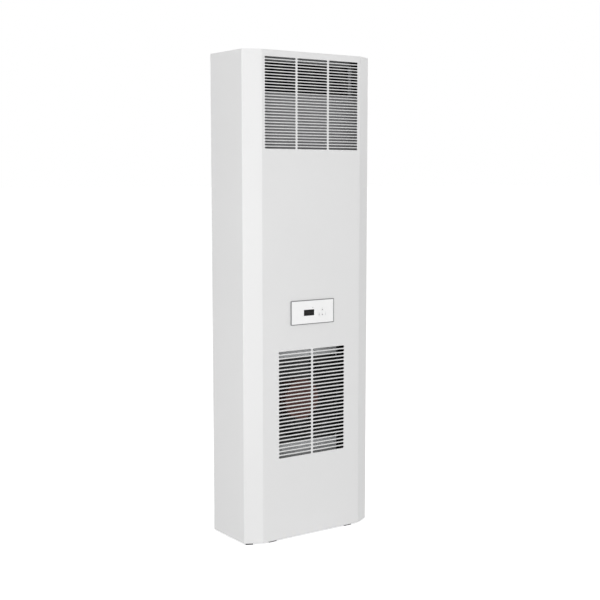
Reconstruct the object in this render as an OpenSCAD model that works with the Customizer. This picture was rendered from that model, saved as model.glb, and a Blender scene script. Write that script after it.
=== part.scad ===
// Slim enclosure air conditioner for mounting on a cabinet wall.
// X runs across the width, -Y is the grille side, +Z is up, in millimetres.
// The origin is the middle of the footprint, at the feet.

/* [Casing] */
// Width of the hood
case_w = 485; // [470:1:540]
// Height over all, feet included
case_h = 1538; // [1530:1:1640]
// Depth from the front sheet to the mounting plane
case_d = 212; // [208:1:250]
// Width of each slanted corner, seen from the front
chamfer_w = 54; // [40:1:60]
// Depth of each slanted corner, seen from the side
chamfer_d = 28; // [20:1:32]
// Thickness of the hood's sheet steel
sheet = 1.5; // [1:0.1:2]
// Inside radius of the folds
fold_r = 3; // [1:0.5:5]
// Gap between the hood and the chassis inside it
cover_gap = 0.5; // [0.3:0.1:1]

/* [Grilles] */
// Rows of slots in the upper grille
upper_rows = 31; // [20:1:31]
// Columns of slots in the upper grille
upper_cols = 3; // [1:1:5]
// Plain sheet beside the upper grille, up to the fold
upper_side = 10.5; // [8:0.5:40]
// Height of an upper slot
upper_slot_h = 6.2; // [3:0.1:6.5]
// Distance between upper rows
upper_pitch = 9.05; // [8:0.05:9.1]
// Top of the hood down to the first upper row
upper_drop = 23.2; // [20:0.1:30]
// Rows of slots in the lower grille
lower_rows = 29; // [18:1:30]
// Columns of slots in the lower grille
lower_cols = 2; // [1:1:4]
// Plain sheet beside the lower grille, up to the fold
lower_side = 60; // [30:1:90]
// Height of a lower slot
lower_slot_h = 8.1; // [4:0.1:8.5]
// Distance between lower rows
lower_pitch = 11.9; // [10:0.1:12]
// Height of the lowest slot row
lower_first_z = 271.2; // [265:0.1:280]
// Bar left between two slots of a row
slot_bar = 6; // [5:0.5:10]

/* [Control panel] */
// Width of the panel
panel_w = 167; // [150:1:180]
// Height of the panel
panel_h = 77; // [70:1:90]
// Height of the panel's middle
panel_z = 727.5; // [700:0.5:745]
// How far the panel stands out of the sheet
panel_proud = 3; // [2.5:0.1:5]
// Rim round the overlay
panel_rim = 2; // [1:0.1:3]
// Depth of the panel's tray behind the sheet
panel_tray_d = 22; // [18:1:30]
// Thickness of the overlay
overlay_t = 0.8; // [0.5:0.1:1]
// Width of the display window
window_w = 40; // [30:0.5:46]
// Height of the display window
window_h = 19.3; // [16:0.1:24]
// Middle of the window, below the panel's middle
window_drop = 1.6; // [0:0.1:4]
// Middle of the window, left of the panel's middle
window_left = 14.3; // [10:0.1:18]
// Radius of a key
key_r = 4.2; // [3:0.1:4.6]
// Sideways distance between keys
key_pitch_x = 12.5; // [11.5:0.1:14]
// Upright distance between keys
key_pitch_z = 15.5; // [12:0.1:17]
// Middle of the keys, right of the panel's middle
key_right_of = 38; // [36:0.5:42]
// Travel of a key
key_travel = 0.5; // [0.3:0.1:0.8]

/* [Chassis] */
// Thickness of the rear plate
plate_t = 2; // [1.5:0.1:3]
// Depth of the rear plate's side flanges
flange_d = 25; // [15:1:35]
// Depth of the rear plate's top flange
top_flange_d = 90; // [70:1:100]
// Thickness of the galvanised inner sheets
inner_t = 1.2; // [0.8:0.1:2]
// Thickness of the foam seal on the mounting plane
gasket_t = 6; // [4:0.5:10]
// Width of the foam seal
gasket_w = 14; // [10:1:18]
// Height of the feet
foot_h = 4; // [3:0.5:8]
// Width of a foot
foot_w = 30; // [20:1:40]
// Middle of a foot, in from the hood's side
foot_edge = 92.5; // [70:0.5:120]
// Height of the base pan's floor
base_z = 34; // [30:1:45]

/* [Mounting] */
// Fixing holes, in from the hood's sides
fix_edge_x = 16.5; // [15:0.5:20]
// Outer fixing holes, in from the top and the bottom
fix_edge_z = 49; // [40:1:60]
// Core radius of the M8 fixing nuts
fix_core_r = 3.4; // [3.3:0.1:3.5]
// Lifting threads, in from the hood's sides
lift_edge = 52.5; // [45:0.5:70]
// Bore radius of the cable grommet
cable_r = 8; // [6:0.5:10]
// Outer radius of the drain spigot
spigot_r = 6; // [5:0.5:8]

/* [Condenser fan] */
// Side of the square fan housing
cfan_side = 280; // [276:1:290]
// Radius of the housing's air ring
cfan_ring_r = 127; // [120:1:129]
// Radius of the rotor hub
cfan_hub_r = 65; // [55:1:70]
// Depth of the front of the hub behind the front sheet
cfan_front_d = 56; // [54:1:60]
// Axial length of the rotor hub
cfan_hub_l = 56; // [46:1:60]
// Number of condenser fan blades
cfan_blades = 5; // [3:1:7]
// Gap between blade tips and ring
tip_gap = 2.5; // [1.5:0.5:4]

/* [Evaporator fan] */
// Radius of the radial wheel
efan_r = 95; // [85:1:100]
// Radius of the wheel's eye
efan_eye_r = 66; // [58:1:70]
// Width of the wheel between plate and shroud
efan_w = 50; // [40:1:54]
// Radius of the wheel's hub
efan_hub_r = 48; // [40:1:50]
// Number of wheel blades
efan_blades = 7; // [5:1:9]

/* [Coils] */
// Outer diameter of the coil tubes
tube_d = 8; // [6:0.5:9.5]
// Distance between fins as drawn
fin_pitch = 5; // [4:0.5:8]
// Distance between tube layers through the coil
layer_pitch = 22; // [20:1:24]
// Depth of a two-layer coil
coil_d = 44; // [40:1:48]
// Tube rows of the condenser
cond_rows = 5; // [3:1:5]
// Distance between condenser tube rows
cond_pitch = 20; // [18:1:20]
// Tube rows of the evaporator, an even number
evap_rows = 12; // [8:2:12]
// Distance between evaporator tube rows
evap_pitch = 25; // [22:1:25]

/* [Compressor] */
// Radius of the compressor shell
comp_r = 58; // [50:1:62]
// Height of the compressor shell
comp_h = 205; // [180:1:215]
// Radius of the suction accumulator
accu_r = 24; // [20:1:28]
// Height of the suction accumulator
accu_h = 140; // [120:1:160]
// Radius of the refrigerant pipes
pipe_r = 4; // [3:0.5:5]

/* [Hidden] */

// One overrun serves all cuts
over = 1;
$fn = 48;

// Depth stations: y values from the front sheet's outer face
total_d = panel_proud + case_d + gasket_t;
front_y = -total_d / 2 + panel_proud;
back_y = front_y + case_d;
plate_y = back_y - plate_t;
function dep(d) = front_y + d;

// Height stations; the tub starts just above the sheet that carries the condenser fan
fan_plate_gap = 4;
fan_plate_above = 60;
fan_plate_below = 50;
cfan_drop = 1.8;
inside_top = case_h - sheet - cover_gap;
lower_mid_z = lower_first_z + (lower_rows - 1) * lower_pitch / 2;
cfan_x = 0;
cfan_z = lower_mid_z - cfan_drop;
fan_plate_z0 = cfan_z - cfan_side / 2 - fan_plate_below;
fan_plate_z1 = cfan_z + cfan_side / 2 + fan_plate_above;
tub_bottom = fan_plate_z1 + fan_plate_gap;
tub_top = inside_top - plate_t - cover_gap;
tub_depth = 105;
tub_w = case_w - 2 * (sheet + cover_gap + plate_t + cover_gap) - 2 * cover_gap;
tub_y = plate_y - tub_depth;

// Inside the tub: the tray, the coil over it, and the fan in the room above the coil
tray_h = 42;
tray_z0 = tub_bottom + inner_t;
tray_z1 = tray_z0 + tray_h;
evap_lift = 16.8;
evap_z0 = tray_z1 + evap_lift;
evap_z1 = evap_z0 + evap_rows * evap_pitch;
nozzle_flange_r = 116;
efan_room_share = 0.74;
efan_z = evap_z1 + nozzle_flange_r + efan_room_share * (tub_top - evap_z1 - 2 * nozzle_flange_r);
cond_drop = 24;
cond_margin = 4;
cond_z1 = inside_top - cond_drop;
cond_z0 = cond_z1 - cond_rows * cond_pitch - 2 * cond_margin;

// Plan of the hood, with its folds as arcs; inset is the distance inside the outer face
chamfer_len = norm([chamfer_w, chamfer_d]);
chamfer_in = [chamfer_d, chamfer_w] / chamfer_len;
fold_steps = 5;
function corner_in(p, a, b, t) = p + t * (a + b) / (1 + a * b);
function fold(p, u, v, r) =
    let (turn = acos(u * v), t = r * tan(turn / 2), a = p - t * u, n = (v - (u * v) * u) / sin(turn))
    [for (i = [0:fold_steps]) a + r * sin(turn * i / fold_steps) * u
        + r * (1 - cos(turn * i / fold_steps)) * n];
function hood_left(inset, y_end) =
    let (side = [-case_w / 2, front_y + chamfer_d], nose = [-case_w / 2 + chamfer_w, front_y],
        down = [0, -1], slant = [chamfer_w, -chamfer_d] / chamfer_len, across = [1, 0],
        r = max(fold_r + sheet - inset, 0.2 * sheet),
        p = corner_in(side, [1, 0], chamfer_in, inset), q = corner_in(nose, chamfer_in, [0, 1], inset))
    concat([[-case_w / 2 + inset, y_end]], fold(p, down, slant, r), fold(q, slant, across, r));
function flip(pts) = [for (i = [len(pts) - 1:-1:0]) [-pts[i][0], pts[i][1]]];
function hood_plan(inset, y_end) = let (half = hood_left(inset, y_end)) concat(half, flip(half));

// Basic shapes between named faces
module block(x0, x1, y0, y1, z0, z1) {
    translate([x0, y0, z0]) cube([x1 - x0, y1 - y0, z1 - z0]);
}

module rod_x(x0, x1, y, z, r) {
    translate([x0, y, z]) rotate([0, 90, 0]) cylinder(h = x1 - x0, r = r);
}

module rod_y(x, y0, y1, z, r) {
    translate([x, y1, z]) rotate([90, 0, 0]) cylinder(h = y1 - y0, r = r);
}

module rod_z(x, y, z0, z1, r) {
    translate([x, y, z0]) cylinder(h = z1 - z0, r = r);
}

module ring_y(x, y0, y1, z, r_in, r_out) {
    difference() {
        rod_y(x, y0, y1, z, r_out);
        rod_y(x, y0 - over, y1 + over, z, r_in);
    }
}

// A flat outline drawn in X and Z, carried from y0 to y1
module slab_y(y0, y1) {
    translate([0, y1, 0]) rotate([90, 0, 0]) linear_extrude(y1 - y0) children();
}

module round_rect(w, h, r) {
    square([w - 2 * r, h], center = true);
    square([w, h - 2 * r], center = true);
    for (sx = [-1, 1], sz = [-1, 1])
        translate([sx * (w / 2 - r), sz * (h / 2 - r)]) circle(r);
}

// Places something in a frame given by its three unit axes
module in_frame(p, x, y, z) {
    multmatrix([[x[0], y[0], z[0], p[0]], [x[1], y[1], z[1], p[1]], [x[2], y[2], z[2], p[2]],
        [0, 0, 0, 1]]) children();
}

function unit(v) = v / norm(v);

// A pipe along square-cornered points, its corners bent to radius bend
module pipe(pts, r, bend) {
    last = len(pts) - 1;
    for (i = [0:last - 1]) {
        u = unit(pts[i + 1] - pts[i]);
        a = pts[i] + (i == 0 ? 0 : bend) * u;
        b = pts[i + 1] - (i == last - 1 ? 0 : bend) * u;
        side = abs(u[2]) > 0.5 ? [1, 0, 0] : [0, 0, 1];
        in_frame(a, side, cross(u, side), u) cylinder(h = norm(b - a), r = r);
        if (i > 0) {
            t = unit(pts[i] - pts[i - 1]);
            in_frame(pts[i] - bend * t + bend * u, -u, t, cross(t, u))
                rotate_extrude(angle = 90) translate([bend, 0]) circle(r);
        }
    }
}

// Grille outlines in X and Z
module slot(w, h) {
    square([w - h, h], center = true);
    for (s = [-1, 1]) translate([s * (w - h) / 2, 0]) circle(h / 2);
}

module slot_field(rows, cols, w, h, pitch, z0) {
    for (i = [0:rows - 1], j = [0:cols - 1])
        translate([(j - (cols - 1) / 2) * (w + slot_bar), z0 + i * pitch]) slot(w, h);
}

flat_w = case_w - 2 * chamfer_w;
upper_slot_w = (flat_w - 2 * upper_side - (upper_cols - 1) * slot_bar) / upper_cols;
lower_slot_w = (flat_w - 2 * lower_side - (lower_cols - 1) * slot_bar) / lower_cols;
upper_first_z = case_h - upper_drop - (upper_rows - 1) * upper_pitch;

// Screws that hold the hood to the chassis' top flange
screw_r = 2.4;
screw_head_r = 5;
screw_len = 10;
screw_edge = 32.5;
screw_back = 60;
screw_span = case_w - 2 * screw_edge;
screw_y = plate_y - screw_back;
hole_gap = 0.3;
shank_fit = 0.05;
lift_back = 55;
lift_span = case_w - 2 * lift_edge;
lift_y = plate_y - lift_back;

module front_cover() color([0.88, 0.88, 0.88]) difference() {
    translate([0, 0, foot_h]) linear_extrude(case_h - foot_h) polygon(hood_plan(0, back_y));
    translate([0, 0, foot_h - over])
        linear_extrude(case_h - foot_h + over - sheet) polygon(hood_plan(sheet, back_y + over));
    slab_y(front_y - over, front_y + sheet + over) {
        slot_field(upper_rows, upper_cols, upper_slot_w, upper_slot_h, upper_pitch, upper_first_z);
        slot_field(lower_rows, lower_cols, lower_slot_w, lower_slot_h, lower_pitch, lower_first_z);
    }
    block(-cutout_w / 2, cutout_w / 2, front_y - over, front_y + sheet + over,
        panel_z - cutout_h / 2, panel_z + cutout_h / 2);
    for (s = [-1, 1]) {
        translate([s * screw_span / 2, screw_y, case_h - sheet])
            cylinder(h = sheet, r1 = screw_r + hole_gap, r2 = screw_head_r + hole_gap);
        rod_z(s * lift_span / 2, lift_y, case_h - sheet - over, case_h + over, nut_flange_r + hole_gap);
    }
}

// Rear plate: a round intake above, a wide outlet below, and pressed beads for stiffness
intake_r = 100;
outlet_side = 72.5;
outlet_lap = 20;
outlet_w = case_w - 2 * outlet_side;
outlet_z0 = evap_z0 + outlet_lap;
outlet_z1 = evap_z1 - outlet_lap;
rear_corner_r = 8;
chassis_w = case_w - 2 * (sheet + cover_gap);
fix_span_x = case_w - 2 * fix_edge_x;
fix_z = [fix_edge_z, case_h / 2, case_h - fix_edge_z];
nut_flange_r = 7;
nut_body_r = 5.4;
nut_len = 14;
nut_flange_t = 1.2;
grommet_edge = 92.5;
grommet_drop = 110;
grommet_wall = 4;
grommet_z = efan_z - grommet_drop;
grommet_x = case_w / 2 - grommet_edge;
grommet_hole_r = cable_r + grommet_wall;
bead_w = 14;
bead_h = 1.2;
bead_space = 110;
bead_z0 = 110;
bead_z1 = tub_bottom - bead_w;

module beads(w) for (i = [-1:1])
    translate([i * bead_space, (bead_z0 + bead_z1) / 2]) rotate(90)
        slot(bead_z1 - bead_z0 - bead_w + w, w);

module rear_chassis() color([0.83, 0.84, 0.85]) difference() {
    union() {
        block(-chassis_w / 2, chassis_w / 2, plate_y, back_y, foot_h, inside_top);
        for (s = [-1, 1])
            block(s > 0 ? chassis_w / 2 - plate_t : -chassis_w / 2,
                s > 0 ? chassis_w / 2 : -chassis_w / 2 + plate_t,
                plate_y - flange_d, plate_y, foot_h, inside_top);
        block(-chassis_w / 2 + plate_t, chassis_w / 2 - plate_t, plate_y - top_flange_d, plate_y,
            inside_top - plate_t, inside_top);
        slab_y(plate_y - bead_h, plate_y) beads(bead_w);
    }
    slab_y(back_y - bead_h, back_y + over) beads(bead_w - plate_t);
    rod_y(0, plate_y - over, back_y + over, efan_z, intake_r);
    slab_y(plate_y - over, back_y + over) translate([0, (outlet_z0 + outlet_z1) / 2])
        round_rect(outlet_w, outlet_z1 - outlet_z0, rear_corner_r);
    for (s = [-1, 1], z = fix_z)
        rod_y(s * fix_span_x / 2, plate_y - over, back_y + over, z, nut_body_r);
    for (s = [-1, 1]) {
        rod_z(s * screw_span / 2, screw_y, inside_top - plate_t - over, inside_top + over, screw_r);
        rod_z(s * lift_span / 2, lift_y, inside_top - plate_t - over, inside_top + over, nut_body_r);
    }
    rod_y(grommet_x, plate_y - over, back_y + over, grommet_z, grommet_hole_r);
}

// The base pan stands on the feet and carries the compressor
pan_inset = sheet + cover_gap;
pan_rail = 24;
pan_y = plate_y - cover_gap;

module pan_outline(inset) difference() {
    polygon(hood_plan(pan_inset + inset, pan_y - inset));
    for (s = [-1, 1]) translate([s * chassis_w / 2, pan_y])
        square([2 * (plate_t + cover_gap + inset), 2 * (flange_d + inset)], center = true);
}

module base_pan() color([0.72, 0.74, 0.75]) difference() {
    union() {
        translate([0, 0, base_z - plate_t]) linear_extrude(plate_t) pan_outline(0);
        translate([0, 0, foot_h]) linear_extrude(base_z - foot_h - plate_t) difference() {
            pan_outline(0);
            pan_outline(plate_t);
        }
        translate([0, 0, foot_h]) linear_extrude(plate_t) difference() {
            pan_outline(0);
            pan_outline(pan_rail);
        }
    }
    for (p = comp_bolt_places)
        rod_z(p[0], p[1], base_z - plate_t - over, base_z + over, comp_bolt_r + hole_gap);
    rod_z(drain_x, drain_y, base_z - plate_t - over, base_z + over, spigot_r + spigot_step + hole_gap);
}

foot_l = 20;
foot_inset = 3;
foot_corner = 3;
foot_x = case_w / 2 - foot_edge;

module rubber_feet() color([0.12, 0.12, 0.12])
    for (s = [-1, 1], y0 = [front_y + foot_inset, plate_y - foot_inset - foot_l])
        translate([s * foot_x, y0 + foot_l / 2, 0]) linear_extrude(foot_h)
            round_rect(foot_w, foot_l, foot_corner);

// The foam seal runs round the mounting plane and across between the two openings
gasket_edge = 34;
gasket_w_out = case_w - 2 * gasket_edge;
gasket_z0 = 60;
gasket_z1 = case_h - gasket_z0;
gasket_mid_share = 0.35;
gasket_mid_z = outlet_z1 + gasket_mid_share * (efan_z - intake_r - outlet_z1);

module rear_gasket() color([0.15, 0.15, 0.16]) slab_y(back_y, back_y + gasket_t) {
    difference() {
        translate([-gasket_w_out / 2, gasket_z0]) square([gasket_w_out, gasket_z1 - gasket_z0]);
        translate([-gasket_w_out / 2 + gasket_w, gasket_z0 + gasket_w])
            square([gasket_w_out - 2 * gasket_w, gasket_z1 - gasket_z0 - 2 * gasket_w]);
    }
    translate([-gasket_w_out / 2 + gasket_w, gasket_mid_z - gasket_w / 2])
        square([gasket_w_out - 2 * gasket_w, gasket_w]);
}

// Rivet nut along +Z with its flange on top of z = 0
module rivet_nut(grip) difference() {
    union() {
        cylinder(h = nut_flange_t, r = nut_flange_r);
        translate([0, 0, -nut_len]) cylinder(h = nut_len, r = nut_body_r - shank_fit);
        translate([0, 0, -grip - nut_flange_t]) cylinder(h = nut_flange_t, r = nut_flange_r - hole_gap);
    }
    translate([0, 0, -nut_len - over]) cylinder(h = nut_len + nut_flange_t + 2 * over, r = fix_core_r);
}

module fixing_nuts() color([0.75, 0.74, 0.7])
    for (s = [-1, 1], z = fix_z)
        translate([s * fix_span_x / 2, back_y, z]) rotate([-90, 0, 0]) rivet_nut(plate_t);

module lifting_nuts() color([0.75, 0.74, 0.7])
    for (s = [-1, 1])
        translate([s * lift_span / 2, lift_y, inside_top]) rivet_nut(plate_t);

module cover_screws() color([0.7, 0.7, 0.72])
    for (s = [-1, 1]) translate([s * screw_span / 2, screw_y, case_h - sheet]) {
        translate([0, 0, -screw_len]) cylinder(h = screw_len, r = screw_r - shank_fit);
        difference() {
            cylinder(h = sheet, r1 = screw_r - shank_fit, r2 = screw_head_r);
            translate([0, 0, sheet / 2]) cylinder(h = sheet, r = screw_r / 2, $fn = 6);
        }
    }

// Inner tub: it shuts the cabinet's air off from the room's air
tub_hole_gap = 2;
tub_seat_gap = 0.1;

module evaporator_housing() color([0.66, 0.68, 0.69]) difference() {
    block(-tub_w / 2, tub_w / 2, tub_y, plate_y - tub_seat_gap, tub_bottom, tub_top);
    block(-tub_w / 2 + inner_t, tub_w / 2 - inner_t, tub_y + inner_t, plate_y + over,
        tub_bottom + inner_t, tub_top - inner_t);
    for (p = [[suction_x, suction_y, pipe_r], [capillary_x, capillary_y, capillary_r],
        [drain_x, drain_y, drain_r]])
        rod_z(p[0], p[1], tub_bottom - over, tub_bottom + inner_t + over, p[2] + tub_hole_gap);
    for (s = [-1, 1]) {
        rod_z(s * lift_span / 2, lift_y, tub_top - inner_t - over, tub_top + over,
            nut_body_r + tub_hole_gap);
        rod_z(s * screw_span / 2, screw_y, tub_top - inner_t - over, tub_top + over,
            screw_r + tub_hole_gap);
    }
}

// Grey sheet behind the lower rows of the upper grille; the warm air rises behind it
baffle_d = 47;
baffle_inset = 5.5;
baffle_right = 10.5;
baffle_below = 11.3;
baffle_gap = 4;
baffle_lap = 13;
baffle_x0 = -flat_w / 2 + baffle_inset;
baffle_x1 = case_w / 2 - baffle_right;
baffle_z0 = upper_first_z - baffle_below;
baffle_z1 = cond_z0 - baffle_gap;

module exhaust_baffle() color([0.55, 0.56, 0.57]) {
    block(baffle_x0, baffle_x1, dep(baffle_d), dep(baffle_d) + inner_t, baffle_z0, baffle_z1 + baffle_lap);
    for (x = [baffle_x0, baffle_x1 - inner_t])
        block(x, x + inner_t, dep(baffle_d), tub_y, baffle_z0, baffle_z1);
    block(baffle_x0, -baffle_x0, front_y + sheet + cover_gap, dep(baffle_d),
        baffle_z0, baffle_z0 + inner_t);
}

// Light sheet that carries the condenser fan
fan_plate_d = 60;
fan_plate_side = 2;
fan_leg_d = 7;
cfan_flange_t = 3;
cfan_corner_r = 18;
cfan_wall = 2.5;
cfan_screw_r = 2.5;
cfan_screw_edge = 14;
cfan_screw_at = cfan_side / 2 - cfan_screw_edge;
fan_plate_x0 = -chassis_w / 2 + plate_t + cover_gap;
fan_plate_x1 = cfan_x + cfan_side / 2 + fan_plate_side;

module fan_plate() color([0.7, 0.71, 0.72]) difference() {
    union() {
        block(fan_plate_x0, fan_plate_x1, dep(fan_plate_d), dep(fan_plate_d) + inner_t,
            fan_plate_z0, fan_plate_z1);
        block(fan_plate_x0, fan_plate_x0 + inner_t, dep(fan_plate_d), plate_y - flange_d,
            fan_plate_z0, fan_plate_z1);
        block(fan_plate_x0, fan_plate_x1, dep(fan_plate_d), tub_y, fan_plate_z1 - inner_t, fan_plate_z1);
        for (x = [fan_plate_x0, fan_plate_x1 - inner_t])
            block(x, x + inner_t, dep(fan_plate_d), dep(fan_plate_d) + fan_leg_d, base_z, fan_plate_z0);
    }
    rod_y(cfan_x, dep(fan_plate_d) - over, dep(fan_plate_d) + inner_t + over, cfan_z,
        cfan_ring_r + cfan_wall + cover_gap);
    for (sx = [-1, 1], sz = [-1, 1])
        rod_y(cfan_x + sx * cfan_screw_at, dep(fan_plate_d) - over, dep(fan_plate_d) + inner_t + over,
            cfan_z + sz * cfan_screw_at, cfan_screw_r);
}

// Condenser fan: square housing with an air ring, motor on four arms, rotor with blades
cfan_face_y = dep(fan_plate_d) - cfan_flange_t;
cfan_front_y = dep(cfan_front_d);
rotor_wall = 3;
rotor_gap = 1.2;
rotor_clear = 2;
shaft_r = 4;
shaft_fit = 0.05;
motor_plate_t = 4;
arm_w = 14;
arm_t = 5;
cfan_motor_y = cfan_front_y + cfan_hub_l + rotor_clear;

module condenser_fan_housing() color([0.07, 0.07, 0.07]) difference() {
    union() {
        slab_y(cfan_face_y, dep(fan_plate_d)) translate([cfan_x, cfan_z])
            round_rect(cfan_side, cfan_side, cfan_corner_r);
        rod_y(cfan_x, dep(fan_plate_d), cfan_motor_y, cfan_z, cfan_ring_r + cfan_wall);
    }
    rod_y(cfan_x, cfan_face_y - over, cfan_motor_y + over, cfan_z, cfan_ring_r);
    for (sx = [-1, 1], sz = [-1, 1])
        rod_y(cfan_x + sx * cfan_screw_at, cfan_face_y - over, dep(fan_plate_d) + over,
            cfan_z + sz * cfan_screw_at, cfan_screw_r);
}

module condenser_fan_screws() color([0.7, 0.7, 0.72])
    for (sx = [-1, 1], sz = [-1, 1]) {
        x = cfan_x + sx * cfan_screw_at;
        z = cfan_z + sz * cfan_screw_at;
        rod_y(x, cfan_face_y - screw_head_r / 2, cfan_face_y, z, screw_head_r);
        rod_y(x, cfan_face_y, cfan_face_y + screw_len, z, cfan_screw_r - shank_fit);
    }

// A fixed motor seen along +Y from its front: stator with a bored shaft seat
module stator(r, y0, y1, plate_r) {
    difference() {
        union() {
            rod_y(0, y0, y1, 0, r);
            rod_y(0, y1, y1 + motor_plate_t, 0, plate_r);
        }
        rod_y(0, y0 - over, y1 + motor_plate_t + over, 0, shaft_r + shaft_fit);
    }
}

module condenser_fan_motor() color([0.25, 0.25, 0.27]) translate([cfan_x, 0, cfan_z]) {
    stator(cfan_hub_r - rotor_wall - rotor_gap, cfan_front_y + 2 * rotor_wall, cfan_motor_y,
        cfan_hub_r - rotor_wall);
    for (a = [45:90:315]) rotate([0, a, 0])
        block(cfan_hub_r - 2 * rotor_wall, cfan_ring_r + cfan_wall, cfan_motor_y, cfan_motor_y + arm_t,
            -arm_w / 2, arm_w / 2);
}

// Rotor cup with its shaft; the cup opens towards the motor plate
module rotor_cup(r, y0, y1, shaft_end) {
    difference() {
        rod_y(0, y0, y1, 0, r);
        rod_y(0, y0 + rotor_wall, y1 + over, 0, r - rotor_wall);
    }
    rod_y(0, y0 + rotor_wall, shaft_end, 0, shaft_r);
}

// One blade: a bent plate set at an angle, cut to a swept outline
blade_t = 3;
blade_bend_r = 150;
blade_angle = 32;
blade_chord = 74;
blade_sweep = 16;
blade_out_share = 0.62;
blade_mid_share = 0.5;

module bent_plate(chord, r_bend, t, reach) {
    translate([0, 0, -over]) linear_extrude(reach) intersection() {
        translate([-r_bend, 0]) difference() {
            circle(r_bend + t / 2, $fn = 96);
            circle(r_bend - t / 2, $fn = 96);
        }
        translate([-r_bend, -chord / 2]) square([2 * r_bend, chord]);
    }
}

module condenser_blade() {
    tip_r = cfan_ring_r - tip_gap;
    intersection() {
        rotate([0, 0, 90 - blade_angle]) bent_plate(blade_chord, blade_bend_r, blade_t, 2 * cfan_ring_r);
        rotate([90, 0, 0]) translate([0, 0, -blade_chord]) linear_extrude(2 * blade_chord) difference() {
            intersection() {
                circle(tip_r, $fn = 96);
                translate([-blade_sweep, tip_r * blade_mid_share])
                    circle(tip_r * blade_out_share, $fn = 72);
            }
            circle(cfan_hub_r - rotor_wall / 2, $fn = 96);
        }
    }
}

module condenser_fan_impeller() translate([cfan_x, 0, cfan_z]) {
    color([0.33, 0.18, 0.14])
        rotor_cup(cfan_hub_r, cfan_front_y, cfan_front_y + cfan_hub_l, cfan_motor_y);
    color([0.08, 0.08, 0.08]) for (i = [0:cfan_blades - 1])
        translate([0, cfan_front_y + cfan_hub_l / 2, 0]) rotate([0, i * 360 / cfan_blades, 0])
            condenser_blade();
}

// Coils: fins as one comb, sheet end plates, and a tube that winds through them
fin_t = 1.2;
fin_tooth = 4;
end_plate_t = 1.5;
end_flange = 9;
end_gap = 0.5;
tube_gap = 0.1;

// Place of tube k: up the front layer, then down the rear layer
function tube_at(k, rows, pitch, y, z) =
    [k < rows ? y - layer_pitch / 2 : y + layer_pitch / 2, z + (k < rows ? k : 2 * rows - 1 - k) * pitch];

module fin_comb(x0, x1, y, z0, z1, rows, pitch) difference() {
    translate([0, 0, z0]) linear_extrude(z1 - z0) {
        translate([x0, y - coil_d / 2 + fin_tooth]) square([x1 - x0, coil_d - 2 * fin_tooth]);
        for (x = [x0:fin_pitch:x1 - fin_t]) translate([x, y - coil_d / 2]) square([fin_t, coil_d]);
    }
    for (k = [0:2 * rows - 1]) {
        p = tube_at(k, rows, pitch, y, (z0 + z1) / 2 - (rows - 1) * pitch / 2);
        rod_x(x0 - over, x1 + over, p[0], p[1], tube_d / 2 + tube_gap);
    }
}

module end_plate(x, dir, y, z0, z1, rows, pitch) difference() {
    union() {
        block(x - (dir < 0 ? end_plate_t : 0), x + (dir < 0 ? 0 : end_plate_t),
            y - coil_d / 2 - end_gap, y + coil_d / 2 + end_gap, z0, z1);
        for (s = [-1, 1])
            block(x - (dir < 0 ? end_flange : 0), x + (dir < 0 ? 0 : end_flange),
                y + s * (coil_d / 2 + end_gap + end_plate_t / 2) - end_plate_t / 2,
                y + s * (coil_d / 2 + end_gap + end_plate_t / 2) + end_plate_t / 2, z0, z1);
    }
    for (k = [0:2 * rows - 1]) {
        p = tube_at(k, rows, pitch, y, (z0 + z1) / 2 - (rows - 1) * pitch / 2);
        rod_x(x - end_plate_t - over, x + end_plate_t + over, p[0], p[1], tube_d / 2 + 2 * tube_gap);
    }
}

// Half ring of a tube from p to q, bulging along out
module u_bend(p, q, out, r) {
    u = unit(q - p);
    in_frame((p + q) / 2, u, out, cross(u, out))
        rotate_extrude(angle = 180) translate([norm(q - p) / 2, 0]) circle(r);
}

stub = 4;

module coil_tubes(x0, x1, y, z0, z1, rows, pitch, tail) {
    zc = (z0 + z1) / 2 - (rows - 1) * pitch / 2;
    for (k = [0:2 * rows - 1]) {
        p = tube_at(k, rows, pitch, y, zc);
        ends = k == 0 || k == 2 * rows - 1;
        rod_x(x0 - stub, x1 + (ends ? tail : stub), p[0], p[1], tube_d / 2);
        if (k < 2 * rows - 1) {
            q = tube_at(k + 1, rows, pitch, y, zc);
            x = k % 2 == 0 ? x0 - stub : x1 + stub;
            u_bend([x, p[0], p[1]], [x, q[0], q[1]], [k % 2 == 0 ? -1 : 1, 0, 0], tube_d / 2);
        }
    }
}

// Condenser coil behind the upper rows of the upper grille
cond_left = 62.5;
cond_right = 56.5;
cond_tail = 8;
cond_seal_gap = 2;
cond_x0 = -case_w / 2 + cond_left;
cond_x1 = case_w / 2 - cond_right;
cond_y = tub_y - end_plate_t - end_gap - coil_d / 2;

module condenser_fins() color([0.1, 0.1, 0.1])
    fin_comb(cond_x0, cond_x1, cond_y, cond_z0, cond_z1, cond_rows, cond_pitch);

module condenser_end_plates() color([0.72, 0.73, 0.74]) {
    end_plate(cond_x0 - end_gap, -1, cond_y, cond_z0, cond_z1, cond_rows, cond_pitch);
    end_plate(cond_x1 + end_gap, 1, cond_y, cond_z0, cond_z1, cond_rows, cond_pitch);
    x0 = cond_x0 - end_gap - end_plate_t;
    x1 = cond_x1 + end_gap + end_plate_t;
    y0 = cond_y - coil_d / 2 - end_gap - end_plate_t;
    block(x0, x1, y0, cond_y + coil_d / 2 + end_gap, cond_z1, cond_z1 + end_plate_t);
    block(x0, x1, y0, y0 + end_plate_t, cond_z1, inside_top - cond_seal_gap);
}

module condenser_tubes() color([0.72, 0.42, 0.28])
    coil_tubes(cond_x0, cond_x1, cond_y, cond_z0, cond_z1, cond_rows, cond_pitch, cond_tail);

// Evaporator coil behind the rear outlet
evap_left = 52.5;
evap_right = 70.5;
evap_tail = 14;
evap_x0 = -case_w / 2 + evap_left;
evap_x1 = case_w / 2 - evap_right;
evap_y = plate_y - end_plate_t - end_gap - coil_d / 2;

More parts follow.
